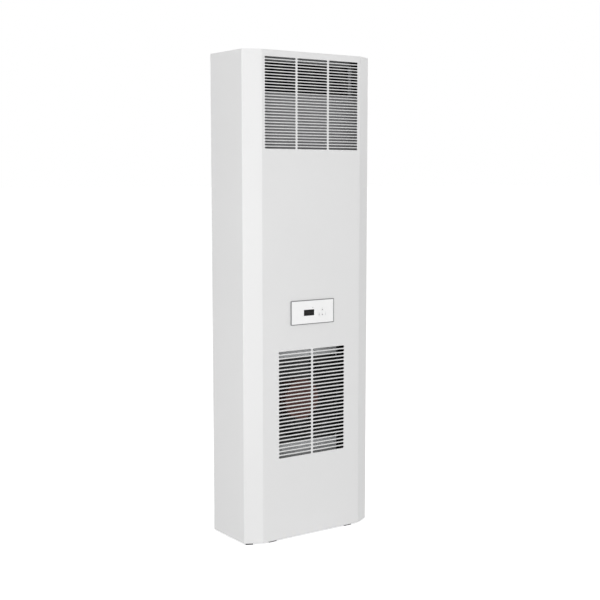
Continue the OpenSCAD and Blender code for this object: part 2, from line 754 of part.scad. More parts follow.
module evaporator_fins() color([0.75, 0.76, 0.78])
    fin_comb(evap_x0, evap_x1, evap_y, evap_z0, evap_z1, evap_rows, evap_pitch);

module evaporator_end_plates() color([0.72, 0.73, 0.74]) {
    end_plate(evap_x0 - end_gap, -1, evap_y, evap_z0, evap_z1, evap_rows, evap_pitch);
    end_plate(evap_x1 + end_gap, 1, evap_y, evap_z0, evap_z1, evap_rows, evap_pitch);
}

module evaporator_tubes() color([0.72, 0.42, 0.28])
    coil_tubes(evap_x0, evap_x1, evap_y, evap_z0, evap_z1, evap_rows, evap_pitch, evap_tail);

// Evaporator fan: motor on the tub's front wall, radial wheel facing the rear inlet
efan_reach = 56;
efan_front_y = tub_y + inner_t + motor_plate_t + efan_reach;
efan_hub_l = 52;
wheel_t = 2;
wheel_y0 = efan_front_y - efan_w - wheel_t;
wheel_blade_r = 55;
wheel_blade_off = 62;
wheel_root_share = 0.7;

module evaporator_fan_motor() color([0.25, 0.25, 0.27]) translate([0, 0, efan_z]) mirror([0, 1, 0])
    stator(efan_hub_r - rotor_wall - rotor_gap, -efan_front_y + 2 * rotor_wall,
        -tub_y - inner_t - motor_plate_t, efan_hub_r + 2 * rotor_wall);

module evaporator_fan_impeller() translate([0, 0, efan_z]) {
    color([0.3, 0.3, 0.32]) mirror([0, 1, 0])
        rotor_cup(efan_hub_r, -efan_front_y, -efan_front_y + efan_hub_l,
            -tub_y - inner_t - shaft_r / 4);
    color([0.1, 0.1, 0.1]) {
        ring_y(0, wheel_y0, wheel_y0 + wheel_t, 0, efan_hub_r - rotor_wall / 2, efan_r);
        ring_y(0, efan_front_y, efan_front_y + wheel_t, 0, efan_eye_r, efan_r);
        slab_y(wheel_y0 + wheel_t, efan_front_y) for (i = [0:efan_blades - 1])
            rotate(i * 360 / efan_blades) wheel_blade();
    }
}

module wheel_blade() {
    intersection() {
        difference() {
            circle(efan_r - wheel_t / 2, $fn = 96);
            circle(efan_r * wheel_root_share, $fn = 96);
        }
        translate([0, wheel_blade_off]) difference() {
            circle(wheel_blade_r + wheel_t / 2, $fn = 96);
            circle(wheel_blade_r - wheel_t / 2, $fn = 96);
        }
        translate([0, -efan_r]) square([efan_r, 2 * efan_r]);
    }
}

// Bell-mouthed inlet in front of the wheel's eye
nozzle_gap = 4;
nozzle_t = 2;
nozzle_bell = 27;
nozzle_r = efan_eye_r - nozzle_gap - nozzle_t;
nozzle_y0 = efan_front_y - 2 * wheel_t;
bell_steps = 6;
function bell(r, y, off) = [for (i = [0:bell_steps])
    [r + nozzle_bell - (nozzle_bell - off) * cos(90 * i / bell_steps),
     y - nozzle_bell + (nozzle_bell - off) * sin(90 * i / bell_steps)]];

module inlet_nozzle() color([0.66, 0.68, 0.69]) translate([0, 0, efan_z]) rotate([-90, 0, 0])
    rotate_extrude($fn = 96) polygon(concat([[nozzle_r, nozzle_y0]], bell(nozzle_r, plate_y, 0),
        [[nozzle_flange_r, plate_y], [nozzle_flange_r, plate_y - nozzle_t]],
        [for (i = [bell_steps:-1:0]) bell(nozzle_r, plate_y, nozzle_t)[i]],
        [[nozzle_r + nozzle_t, nozzle_y0]]));

// Condensate tray and drain
drain_r = 6;
drain_side = 44.5;
drain_x = -case_w / 2 + drain_side;
drain_y = evap_y - layer_pitch / 2;
tray_left = 26.5;
tray_right = 52.5;
tray_front = 26;
tray_t = 2;
tray_x0 = -case_w / 2 + tray_left;
tray_x1 = case_w / 2 - tray_right;
tray_y0 = evap_y - coil_d / 2 - tray_front;
tray_y1 = plate_y - hole_gap;
nipple_l = 20;
hose_r = 8;
hose_lift = 6;
spigot_end_z = 10;
spigot_wall = 1.8;
spigot_rise = 30;
spigot_step = 2;
spigot_neck_z = base_z - plate_t - spigot_step;

module condensate_tray() color([0.16, 0.16, 0.17]) difference() {
    union() {
        block(tray_x0, tray_x1, tray_y0, tray_y1, tray_z0, tray_z1);
        rod_z(drain_x, drain_y, tray_z0 - nipple_l, tray_z0, drain_r);
    }
    block(tray_x0 + tray_t, tray_x1 - tray_t, tray_y0 + tray_t, tray_y1 - tray_t,
        tray_z0 + tray_t, tray_z1 + over);
    rod_z(drain_x, drain_y, tray_z0 - nipple_l - over, tray_z1, drain_r - spigot_wall);
}

module drain_pipe() color([0.2, 0.2, 0.2]) difference() {
    rod_z(drain_x, drain_y, base_z + hose_lift, tub_bottom - hole_gap, hose_r);
    rod_z(drain_x, drain_y, base_z, tub_bottom, drain_r + hole_gap);
}

module drain_spigot() color([0.2, 0.2, 0.2]) difference() {
    union() {
        rod_z(drain_x, drain_y, spigot_end_z, base_z + spigot_rise, spigot_r);
        rod_z(drain_x, drain_y, spigot_neck_z, base_z, spigot_r + spigot_step);
        rod_z(drain_x, drain_y, base_z, base_z + tray_t, 2 * spigot_r);
    }
    rod_z(drain_x, drain_y, spigot_end_z - over, base_z + spigot_rise + over, spigot_r - spigot_wall);
}

// Compressor on its rubber-mounted base
comp_side = 147.5;
comp_back = 86;
comp_x = case_w / 2 - comp_side;
comp_y = plate_y - comp_back;
comp_plate_t = 3;
comp_plate_x = 66;
comp_plate_y = 56;
comp_bolt_r = 3;
comp_bolt_x = 56;
comp_bolt_y = 46;
grommet_h = 10;
grommet_r = 9;
comp_z0 = base_z + grommet_h + comp_plate_t;
comp_top = comp_z0 + comp_h;
comp_dome = 26;
comp_band = 78;
comp_band_t = 0.75;
comp_stub_wall = 2;
comp_port_z = comp_top + pipe_r;
service_r = 3;
service_out = 26;
service_h = 18;
terminal_r = 15;
terminal_step = 1;
terminal_off = 30;
terminal_x = comp_x - terminal_off;
terminal_h = 16;
comp_bolt_places = [for (sx = [-1, 1], sy = [-1, 1])
    [comp_x + sx * comp_bolt_x, comp_y + sy * comp_bolt_y]];
function dome(r, h, n) = [for (i = [0:n]) [r * cos(90 * i / n), h * sin(90 * i / n)]];

module compressor() color([0.06, 0.06, 0.07]) translate([comp_x, comp_y, comp_z0]) {
    rotate_extrude($fn = 96) difference() {
        polygon(concat([[0, 0], [comp_r - comp_dome / 3, 0], [comp_r, comp_dome / 3]],
            [for (p = dome(comp_r, comp_dome, 8)) p + [0, comp_h - comp_dome]]));
        translate([-over, 0]) square([over, comp_h + over]);
    }
    translate([0, 0, comp_h - comp_dome])
        cylinder(h = comp_dome + pipe_r, r = pipe_r + comp_stub_wall);
    translate([-terminal_off, 0, comp_h - comp_dome]) cylinder(h = comp_dome, r = terminal_r);
    translate([0, service_out, comp_h - comp_dome]) cylinder(h = comp_dome + service_h, r = service_r);
    cylinder(h = comp_band, r = comp_r + comp_band_t);
}

module terminal_cover() color([0.1, 0.1, 0.1])
    rod_z(terminal_x, comp_y, comp_top, comp_top + terminal_h, terminal_r - terminal_step);

module compressor_base() color([0.08, 0.08, 0.09]) difference() {
    translate([comp_x, comp_y, comp_z0 - comp_plate_t]) linear_extrude(comp_plate_t)
        round_rect(2 * comp_plate_x, 2 * comp_plate_y, grommet_r);
    for (p = comp_bolt_places)
        rod_z(p[0], p[1], comp_z0 - comp_plate_t - over, comp_z0 + over, comp_bolt_r + hole_gap);
}

module compressor_grommets() color([0.12, 0.12, 0.12])
    for (p = comp_bolt_places) difference() {
        rod_z(p[0], p[1], base_z, base_z + grommet_h, grommet_r);
        rod_z(p[0], p[1], base_z - over, base_z + grommet_h + over, comp_bolt_r + hole_gap);
    }

module compressor_bolts() color([0.75, 0.74, 0.7])
    for (p = comp_bolt_places) {
        rod_z(p[0], p[1], base_z - plate_t - comp_bolt_r, comp_z0, comp_bolt_r);
        rod_z(p[0], p[1], comp_z0, comp_z0 + comp_bolt_r, 2 * comp_bolt_r);
    }

// Accumulator beside the compressor, on a strap
accu_gap = 8;
accu_x = comp_x - comp_r - comp_band_t - accu_gap - accu_r;
accu_lift = 46;
accu_z0 = base_z + accu_lift;
accu_cone = 14;
strap_t = 2;
strap_h = 16;
strap_z = accu_z0 + accu_h / 3;

module suction_accumulator() color([0.06, 0.06, 0.07]) translate([accu_x, comp_y, accu_z0])
    rotate_extrude() polygon([[0, 0], [pipe_r * 2, 0], [accu_r, accu_cone], [accu_r, accu_h - accu_cone],
        [pipe_r * 2, accu_h], [0, accu_h]]);

module accumulator_bracket() color([0.08, 0.08, 0.09]) difference() {
    union() {
        rod_z(accu_x, comp_y, strap_z, strap_z + strap_h, accu_r + hole_gap + strap_t);
        block(accu_x, comp_x - comp_r + strap_t, comp_y - strap_h / 2, comp_y + strap_h / 2,
            strap_z, strap_z + strap_h);
    }
    rod_z(accu_x, comp_y, strap_z - over, strap_z + strap_h + over, accu_r + hole_gap);
    rod_z(comp_x, comp_y, strap_z - over, strap_z + strap_h + over, comp_r + comp_band_t + hole_gap);
}

// Filter drier and pipes
drier_r = 11;
drier_h = 100;
drier_side = 20.5;
drier_lift = 60;
drier_cone = 14;
drier_x = case_w / 2 - drier_side;
drier_y = evap_y - layer_pitch / 2;
drier_z0 = base_z + drier_lift;
suction_side = 42.5;
suction_rise = 36;
suction_x = case_w / 2 - suction_side;
suction_y = evap_y + layer_pitch / 2;
suction_z = comp_top + suction_rise;
discharge_side = 30.5;
discharge_rise = 52;
discharge_x = case_w / 2 - discharge_side;
discharge_z = comp_top + discharge_rise;
bend_r = 12;
capillary_r = 1.5;
capillary_bend = 5;
capillary_side = 35.5;
capillary_x = case_w / 2 - capillary_side;
capillary_y = drier_y;
cond_port_z = (cond_z0 + cond_z1) / 2 - (cond_rows - 1) * cond_pitch / 2;
evap_port_z = (evap_z0 + evap_z1) / 2 - (evap_rows - 1) * evap_pitch / 2;

module filter_drier() color([0.72, 0.42, 0.28]) translate([drier_x, drier_y, drier_z0])
    rotate_extrude() polygon([[0, 0], [capillary_r * 2, 0], [drier_r, drier_cone],
        [drier_r, drier_h - drier_cone], [pipe_r, drier_h], [0, drier_h]]);

module drier_clip() color([0.72, 0.73, 0.74]) difference() {
    z = drier_z0 + drier_h / 2;
    union() {
        rod_z(drier_x, drier_y, z, z + strap_h / 2, drier_r + hole_gap + strap_t);
        block(drier_x - strap_h / 2, drier_x + strap_h / 2, drier_y, plate_y, z, z + strap_h / 2);
    }
    rod_z(drier_x, drier_y, z - over, z + strap_h, drier_r + hole_gap);
}

module discharge_pipe() color([0.72, 0.42, 0.28]) {
    y = cond_y - layer_pitch / 2;
    pipe([[cond_x1 + cond_tail, y, cond_port_z], [discharge_x, y, cond_port_z],
        [discharge_x, y, discharge_z], [discharge_x, comp_y, discharge_z],
        [comp_x, comp_y, discharge_z], [comp_x, comp_y, comp_port_z]], pipe_r, bend_r);
}

module liquid_pipe() color([0.72, 0.42, 0.28]) {
    y = cond_y + layer_pitch / 2;
    z = drier_z0 + drier_h + 3 * bend_r;
    pipe([[cond_x1 + cond_tail, y, cond_port_z], [drier_x, y, cond_port_z], [drier_x, y, z],
        [drier_x, drier_y, z], [drier_x, drier_y, drier_z0 + drier_h]], pipe_r, bend_r);
}

module suction_pipe() color([0.72, 0.42, 0.28])
    pipe([[evap_x1 + evap_tail, suction_y, evap_port_z], [suction_x, suction_y, evap_port_z],
        [suction_x, suction_y, suction_z], [accu_x, suction_y, suction_z], [accu_x, comp_y, suction_z],
        [accu_x, comp_y, accu_z0 + accu_h]], pipe_r, bend_r);

module capillary_tube() color([0.72, 0.42, 0.28]) {
    z = drier_z0 - 3 * capillary_bend;
    pipe([[evap_x1 + evap_tail, capillary_y, evap_port_z], [capillary_x, capillary_y, evap_port_z],
        [capillary_x, capillary_y, z], [drier_x, capillary_y, z], [drier_x, capillary_y, drier_z0]],
        capillary_r, capillary_bend);
}

// Control box on the tub's front wall, inside the front duct
box_side = 28.5;
box_w = 140;
box_h = 200;
box_lift = 80;
box_x0 = -case_w / 2 + box_side;
box_x1 = box_x0 + box_w;
box_z0 = tub_bottom + box_lift;
box_z1 = box_z0 + box_h;
box_d = 38;
board_t = 1.6;
post_h = 4;
post_r = 2.5;
board_edge = 8;
cap_r = 14;
cap_h = 62;

module control_box() color([0.72, 0.73, 0.74]) difference() {
    block(box_x0, box_x1, tub_y - box_d, tub_y, box_z0, box_z1);
    block(box_x0 + inner_t, box_x1 - inner_t, tub_y - box_d - over, tub_y - inner_t,
        box_z0 + inner_t, box_z1 - inner_t);
}

module control_box_lid() color([0.72, 0.73, 0.74])
    block(box_x0, box_x1, tub_y - box_d - inner_t, tub_y - box_d, box_z0, box_z1);

module control_board() color([0.05, 0.25, 0.12]) {
    y1 = tub_y - inner_t - post_h;
    block(box_x0 + board_edge, box_x1 - board_edge, y1 - board_t, y1,
        box_z0 + cap_h, box_z1 - board_edge);
    for (x = [box_x0 + 2 * board_edge, box_x1 - 2 * board_edge],
        z = [box_z0 + cap_h + board_edge, box_z1 - 2 * board_edge])
        rod_y(x, y1, tub_y - inner_t, z, post_r);
}

module run_capacitor() color([0.8, 0.8, 0.8])
    rod_x(box_x0 + board_edge, box_x0 + board_edge + cap_h, tub_y - inner_t - cap_r - hole_gap,
        box_z0 + inner_t + cap_r + hole_gap, cap_r);

terminal_count = 6;
terminal_pitch = 8;
terminal_depth = 18;
terminal_tall = 26;
terminal_hole_shares = [0.25, 0.75];

module terminal_block() color([0.35, 0.37, 0.4]) {
    x0 = box_x0 + 2 * board_edge + cap_h;
    for (i = [0:terminal_count - 1])
        difference() {
            block(x0 + i * terminal_pitch, x0 + (i + 1) * terminal_pitch,
                tub_y - inner_t - terminal_depth, tub_y - inner_t,
                box_z0 + board_edge, box_z0 + board_edge + terminal_tall);
            for (s = terminal_hole_shares)
                rod_y(x0 + (i + 0.5) * terminal_pitch, tub_y - inner_t - terminal_depth - over,
                    tub_y - inner_t - terminal_depth / 2, box_z0 + board_edge + s * terminal_tall,
                    terminal_pitch / 3);
        }
}

// Rubber grommet in the rear plate for the supply cable
grommet_lip = 3;
grommet_lip_t = 2;
grommet_fit = 0.1;

module cable_grommet() color([0.12, 0.12, 0.12]) difference() {
    union() {
        rod_y(grommet_x, plate_y - grommet_lip_t, plate_y, grommet_z, grommet_hole_r + grommet_lip);
        rod_y(grommet_x, plate_y, back_y, grommet_z, grommet_hole_r - grommet_fit);
        rod_y(grommet_x, back_y, back_y + grommet_lip_t, grommet_z, grommet_hole_r + grommet_lip);
    }
    rod_y(grommet_x, plate_y - grommet_lip_t - over, back_y + grommet_lip_t + over, grommet_z,
        cable_r);
}

// Control panel: bezel with a tray, overlay, window, keys and board
panel_y = front_y - panel_proud;
tray_wall = 2;
cutout_gap = 0.5;
panel_lip = 7;
cutout_w = panel_w - 2 * panel_lip;
cutout_h = panel_h - 2 * panel_lip;
overlay_gap = 0.2;
key_gap = 0.3;
key_flange_t = 1;
key_flange = 1.2;
key_raise = 0.3;
window_x = -window_left;
window_z = panel_z - window_drop;
key_low_share = 0.7;
key_low_z = panel_z - key_pitch_z * key_low_share;
key_places = [["up", key_right_of, key_low_z + key_pitch_z], ["down", key_right_of, key_low_z],
    ["left", key_right_of - key_pitch_x, key_low_z], ["right", key_right_of + key_pitch_x, key_low_z]];
floor_y = panel_y + overlay_t;
floor_back_y = front_y + sheet / 2;
panel_board_y = front_y + panel_tray_d / 2;

module panel_plate(inset, r) round_rect(panel_w - 2 * inset, panel_h - 2 * inset, r);

module display_frame() color([0.6, 0.61, 0.62]) difference() {
    union() {
        slab_y(panel_y, front_y) translate([0, panel_z]) panel_plate(0, panel_rim);
        block(-cutout_w / 2 + cutout_gap, cutout_w / 2 - cutout_gap, front_y, front_y + panel_tray_d,
            panel_z - cutout_h / 2 + cutout_gap, panel_z + cutout_h / 2 - cutout_gap);
    }
    slab_y(panel_y - over, floor_y) translate([0, panel_z]) panel_plate(panel_rim, panel_rim / 2);
    block(-cutout_w / 2 + cutout_gap + tray_wall, cutout_w / 2 - cutout_gap - tray_wall, floor_back_y,
        front_y + panel_tray_d + over, panel_z - cutout_h / 2 + cutout_gap + tray_wall,
        panel_z + cutout_h / 2 - cutout_gap - tray_wall);
    block(window_x - window_w / 2, window_x + window_w / 2, panel_y - over, floor_back_y + over,
        window_z - window_h / 2, window_z + window_h / 2);
    for (k = key_places) rod_y(k[1], panel_y - over, floor_back_y + over, k[2], key_r + key_gap);
}

module display_overlay() color([0.95, 0.95, 0.95]) difference() {
    slab_y(panel_y, floor_y) translate([0, panel_z]) panel_plate(panel_rim + overlay_gap, panel_rim / 2);
    block(window_x - window_w / 2, window_x + window_w / 2, panel_y - over, floor_y + over,
        window_z - window_h / 2, window_z + window_h / 2);
    for (k = key_places) rod_y(k[1], panel_y - over, floor_y + over, k[2], key_r + key_gap);
}

module display_window() color([0.02, 0.02, 0.02])
    block(window_x - window_w / 2 + overlay_gap, window_x + window_w / 2 - overlay_gap,
        panel_y + overlay_gap, floor_back_y,
        window_z - window_h / 2 + overlay_gap, window_z + window_h / 2 - overlay_gap);

module display_board() color([0.05, 0.25, 0.12]) {
    w = cutout_w - 2 * (cutout_gap + tray_wall + cutout_gap);
    h = cutout_h - 2 * (cutout_gap + tray_wall + cutout_gap);
    block(-w / 2, w / 2, panel_board_y, panel_board_y + board_t, panel_z - h / 2, panel_z + h / 2);
    for (sx = [-1, 1], sz = [-1, 1])
        rod_y(sx * (w / 2 - 2 * post_r), floor_back_y, panel_board_y,
            panel_z + sz * (h / 2 - 2 * post_r), post_r);
}

module display_module() color([0.03, 0.03, 0.03])
    block(window_x - window_w / 2 + overlay_gap, window_x + window_w / 2 - overlay_gap,
        floor_back_y, panel_board_y,
        window_z - window_h / 2 + overlay_gap, window_z + window_h / 2 - overlay_gap);

// A switch under each key, low enough for its travel
switch_y = floor_back_y + key_gap + key_flange_t + key_travel + key_gap;

module key_switches() color([0.8, 0.8, 0.82])
    for (k = key_places) rod_y(k[1], switch_y, panel_board_y, k[2], key_r / 2);

module key(i) {
    k = key_places[i];
    rod_y(k[1], panel_y - key_raise, floor_back_y + key_gap, k[2], key_r);
    rod_y(k[1], floor_back_y + key_gap, floor_back_y + key_gap + key_flange_t, k[2], key_r + key_flange);
}

module key_up() color([0.9, 0.9, 0.9]) key(0);

module key_down() color([0.9, 0.9, 0.9]) key(1);

module key_left() color([0.9, 0.9, 0.9]) key(2);

module key_right() color([0.9, 0.9, 0.9]) key(3);

front_cover();
rear_chassis();
base_pan();
rubber_feet();
rear_gasket();
fixing_nuts();
lifting_nuts();
cover_screws();
evaporator_housing();
exhaust_baffle();
fan_plate();
condenser_fan_housing();
condenser_fan_motor();
condenser_fan_impeller();
condenser_fan_screws();
condenser_fins();
condenser_end_plates();
condenser_tubes();
evaporator_fins();
evaporator_end_plates();
evaporator_tubes();
evaporator_fan_motor();
evaporator_fan_impeller();
inlet_nozzle();
condensate_tray();
drain_pipe();
drain_spigot();
compressor();
compressor_base();
compressor_grommets();
compressor_bolts();
terminal_cover();
suction_accumulator();
accumulator_bracket();
filter_drier();
drier_clip();
capillary_tube();
discharge_pipe();
liquid_pipe();
suction_pipe();
control_box();
control_box_lid();
control_board();
run_capacitor();
terminal_block();
cable_grommet();
display_frame();
display_overlay();
display_window();
display_board();
display_module();
key_switches();
key_up();
key_down();
key_left();
key_right();
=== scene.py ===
import logging
import math
from dataclasses import dataclass, replace
from enum import Enum
from functools import cache
from typing import Iterable, Sequence

import bmesh
import bpy
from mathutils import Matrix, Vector


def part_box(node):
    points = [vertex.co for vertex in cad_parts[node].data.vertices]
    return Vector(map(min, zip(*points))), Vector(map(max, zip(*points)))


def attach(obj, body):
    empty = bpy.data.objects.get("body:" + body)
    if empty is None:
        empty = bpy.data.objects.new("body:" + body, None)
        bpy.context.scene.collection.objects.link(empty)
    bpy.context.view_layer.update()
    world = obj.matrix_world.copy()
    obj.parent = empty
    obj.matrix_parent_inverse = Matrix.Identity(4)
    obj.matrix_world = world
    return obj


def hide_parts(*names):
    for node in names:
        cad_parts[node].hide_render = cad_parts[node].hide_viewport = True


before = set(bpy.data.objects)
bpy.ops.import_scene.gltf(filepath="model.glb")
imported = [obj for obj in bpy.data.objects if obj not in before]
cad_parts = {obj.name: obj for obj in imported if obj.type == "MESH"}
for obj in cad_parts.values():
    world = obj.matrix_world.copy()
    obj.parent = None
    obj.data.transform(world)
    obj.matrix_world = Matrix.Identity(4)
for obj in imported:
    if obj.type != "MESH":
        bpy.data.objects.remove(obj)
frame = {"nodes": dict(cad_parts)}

log = logging.getLogger("cooler")

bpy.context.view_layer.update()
FRONT_OF_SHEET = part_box("front_cover")[0].y
SLANT = (0.054, 0.028)  # width and depth of the hood's slanted corners

Colour = tuple[float, float, float]


def srgb(level: float, green: float | None = None, blue: float | None = None) -> Colour:
    """Turns screen levels from 0 to 255 into linear light.

    Args:
        level: Red, or the grey level when the other two are left out.
        green: Green level.
        blue: Blue level.

    Returns:
        The colour in linear light.
    """
    levels = (level, level if green is None else green, level if blue is None else blue)

    def linear(value: float) -> float:
        """Returns one channel in linear light."""
        share = value / 255
        return share / 12.92 if share <= 0.04045 else ((share + 0.055) / 1.055) ** 2.4

    return tuple(linear(value) for value in levels)


def middle_of(node: str) -> Vector:
    """Returns the middle of a CAD node's box at rest."""
    low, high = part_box(node)
    return (low + high) / 2


class Grain(Enum):
    """The small surface structure of a finish."""

    ORANGE_PEEL = "orange_peel"
    SPANGLE = "spangle"
    ROLLED = "rolled"
    MOULDED = "moulded"
    FOAM = "foam"
    FILM = "film"


@dataclass(frozen=True)
class Finish:
    """How one material of the cooler looks.

    Attributes:
        name: Material name.
        colour: Main colour, linear.
        grain: Which small structure the surface has.
        roughness: Mean roughness.
        metallic: 0 for paint and plastic, 1 for bare metal.
        shade: How far the colour wanders, as a share of itself.
        cell: Size of the small structure in metres.
        relief: Height of the small structure in metres.
        coat: Weight of a clear coat.
        specular: Specular level of the base.
        dust: How much settled dust lies on upward faces.
        edge: Radius of the softened edges in metres, for the light only.
        slot: Name of the record's material slot. Not used.
    """

    name: str
    colour: Colour
    grain: Grain
    roughness: float
    metallic: float = 0.0
    shade: float = 0.04
    cell: float = 0.001
    relief: float = 0.00002
    coat: float = 0.0
    specular: float = 0.5
    dust: float = 0.15
    edge: float = 0.0004
    slot: str = ""


HOOD_PAINT = Finish("hood_paint", srgb(226), Grain.ORANGE_PEEL, 0.42, shade=0.012, cell=0.0016, relief=0.000012,
                    specular=0.4, dust=0.04, edge=0.0016)
ZINC_SHEET = Finish("zinc_sheet", srgb(168, 171, 173), Grain.SPANGLE, 0.42, metallic=0.55, shade=0.1, cell=0.011,
                    relief=0.000006)
# A darker, duller copy of the zinc sheet for the condenser's end plates: the darker tone is painted shade on the plates
# seen through the slots.
COIL_PLATE_PAINTED_SHADE = Finish("coil_plate_painted_shade", srgb(150, 152, 154), Grain.SPANGLE, 0.5, metallic=0.2, shade=0.08, cell=0.008,
                    relief=0.000006, slot="zinc_sheet")
# The evaporator tub is zinc sheet; its near-black colour is painted shade for the dark space seen through the slots.
TUB_PAINTED_SHADE = Finish("tub_black", srgb(30, 30, 32), Grain.ORANGE_PEEL, 0.6, shade=0.06, cell=0.0018, specular=0.3)
# The exhaust baffle is zinc sheet; this darker grey is painted shade for the dim space behind the slots.
BAFFLE_PAINTED_SHADE = Finish("baffle_grey", srgb(137, 137, 139), Grain.ORANGE_PEEL, 0.55, shade=0.05, cell=0.002,
                     specular=0.3)
PLATED_STEEL = Finish("plated_steel", srgb(190, 188, 180), Grain.ROLLED, 0.28, metallic=0.95, shade=0.06, cell=0.0006)
DARK_RUBBER = Finish("dark_rubber", srgb(38), Grain.MOULDED, 0.72, cell=0.0006, relief=0.00003)
SEAL_FOAM = Finish("seal_foam", srgb(44, 44, 46), Grain.FOAM, 0.9, shade=0.12, cell=0.0011, relief=0.00018)
FAN_BLACK = Finish("fan_black", srgb(24), Grain.MOULDED, 0.5, cell=0.0008, specular=0.35)
ROTOR_BROWN = Finish("rotor_brown", srgb(88, 54, 48), Grain.ORANGE_PEEL, 0.5, shade=0.12, cell=0.002, specular=0.3)
# Near-black of the coated coils; the hood's inner side also takes this colour as painted shade.
COIL_AND_SHADE_BLACK = Finish("coil_black", srgb(22), Grain.ROLLED, 0.6, metallic=0.2, cell=0.0008, specular=0.3)
FIN_ALUMINIUM = Finish("fin_aluminium", srgb(214, 216, 219), Grain.ROLLED, 0.4, metallic=0.35, shade=0.08, cell=0.0009)
# A lighter copy of the zinc sheet for the fan plate: the lighter tone is painted light on the plate seen through the
# slots.
FAN_SHEET_PAINTED_LIGHT = replace(ZINC_SHEET, name="fan_sheet_painted_light", colour=srgb(206, 208, 209), roughness=0.45, metallic=0.15,
                    shade=0.06, slot="zinc_sheet")
PIPE_FOAM = Finish("pipe_foam", srgb(26, 26, 27), Grain.FOAM, 0.9, shade=0.1, cell=0.001, relief=0.00012,
                   slot="seal_foam")
COPPER = Finish("copper", srgb(186, 118, 84), Grain.ROLLED, 0.32, metallic=0.95, shade=0.14, cell=0.003)
COMPRESSOR_BLACK = Finish("compressor_black", srgb(27, 27, 29), Grain.ORANGE_PEEL, 0.3, cell=0.0022, relief=0.00003,
                          coat=0.3)
TRAY_PLASTIC = Finish("tray_plastic", srgb(52, 52, 55), Grain.MOULDED, 0.55)
BOARD_GREEN = Finish("board_green", srgb(24, 92, 52), Grain.FILM, 0.35, shade=0.08, cell=0.004, coat=0.4)
GREY_PLASTIC = Finish("grey_plastic", srgb(150, 151, 153), Grain.MOULDED, 0.5, cell=0.0007)
BEZEL_GREY = replace(GREY_PLASTIC, name="bezel_grey", colour=srgb(112, 113, 115), specular=0.35, slot="grey_plastic")
OVERLAY_WHITE = Finish("overlay_white", srgb(244), Grain.FILM, 0.3, shade=0.01, cell=0.0015, relief=0.000004, dust=0.0,
                       edge=0.0002)
WINDOW_BLACK = Finish("window_black", srgb(12), Grain.FILM, 0.3, shade=0.03, cell=0.004, relief=0.000002, dust=0.0,
                      specular=0.1, edge=0.0002)
MOTOR_DARK = Finish("motor_dark", srgb(62, 62, 64), Grain.ORANGE_PEEL, 0.4, metallic=0.3, cell=0.0015)
CAP_METAL = Finish("cap_metal", srgb(190, 191, 194), Grain.ROLLED, 0.25, metallic=0.95)
PRINT_DARK = Finish("print_dark", srgb(58, 60, 64), Grain.FILM, 0.4, relief=0.000001, dust=0.0, edge=0.00005,
                    slot="window_black")
PRINT_PALE = replace(PRINT_DARK, name="print_pale", colour=srgb(186, 188, 191), shade=0.03, slot="grey_plastic")
DIGIT_UNLIT = replace(PRINT_DARK, name="digit_unlit", colour=srgb(50, 48, 46), roughness=0.2, shade=0.03)
LAMP_UNLIT = replace(PRINT_PALE, name="lamp_unlit", colour=srgb(92, 128, 96), roughness=0.15, coat=0.5, edge=0.0001)

NODES_OF: dict[Finish, str] = {
    HOOD_PAINT: "front_cover",
    ZINC_SHEET: "rear_chassis base_pan evaporator_end_plates inlet_nozzle drier_clip control_box control_box_lid",
    FAN_SHEET_PAINTED_LIGHT: "fan_plate",
    COIL_PLATE_PAINTED_SHADE: "condenser_end_plates",
    TUB_PAINTED_SHADE: "evaporator_housing",
    BAFFLE_PAINTED_SHADE: "exhaust_baffle",
    PLATED_STEEL: "fixing_nuts lifting_nuts cover_screws condenser_fan_screws compressor_bolts key_switches",
    DARK_RUBBER: "rubber_feet drain_pipe compressor_grommets cable_grommet",
    SEAL_FOAM: "rear_gasket",
    FAN_BLACK: "condenser_fan_housing evaporator_fan_impeller terminal_cover",
    ROTOR_BROWN: "condenser_fan_impeller",
    MOTOR_DARK: "condenser_fan_motor evaporator_fan_motor",
    COIL_AND_SHADE_BLACK: "condenser_fins condenser_tubes discharge_pipe liquid_pipe",
    FIN_ALUMINIUM: "evaporator_fins",
    COPPER: "evaporator_tubes filter_drier capillary_tube",
    PIPE_FOAM: "suction_pipe",
    COMPRESSOR_BLACK: "compressor compressor_base suction_accumulator accumulator_bracket",
    TRAY_PLASTIC: "condensate_tray drain_spigot",
    BOARD_GREEN: "control_board display_board",
    CAP_METAL: "run_capacitor",
    GREY_PLASTIC: "terminal_block",
    BEZEL_GREY: "display_frame",
    OVERLAY_WHITE: "display_overlay key_up key_down key_left key_right",
    WINDOW_BLACK: "display_window display_module",
}
NODE_FINISH = {node: finish for finish, nodes in NODES_OF.items() for node in nodes.split()}


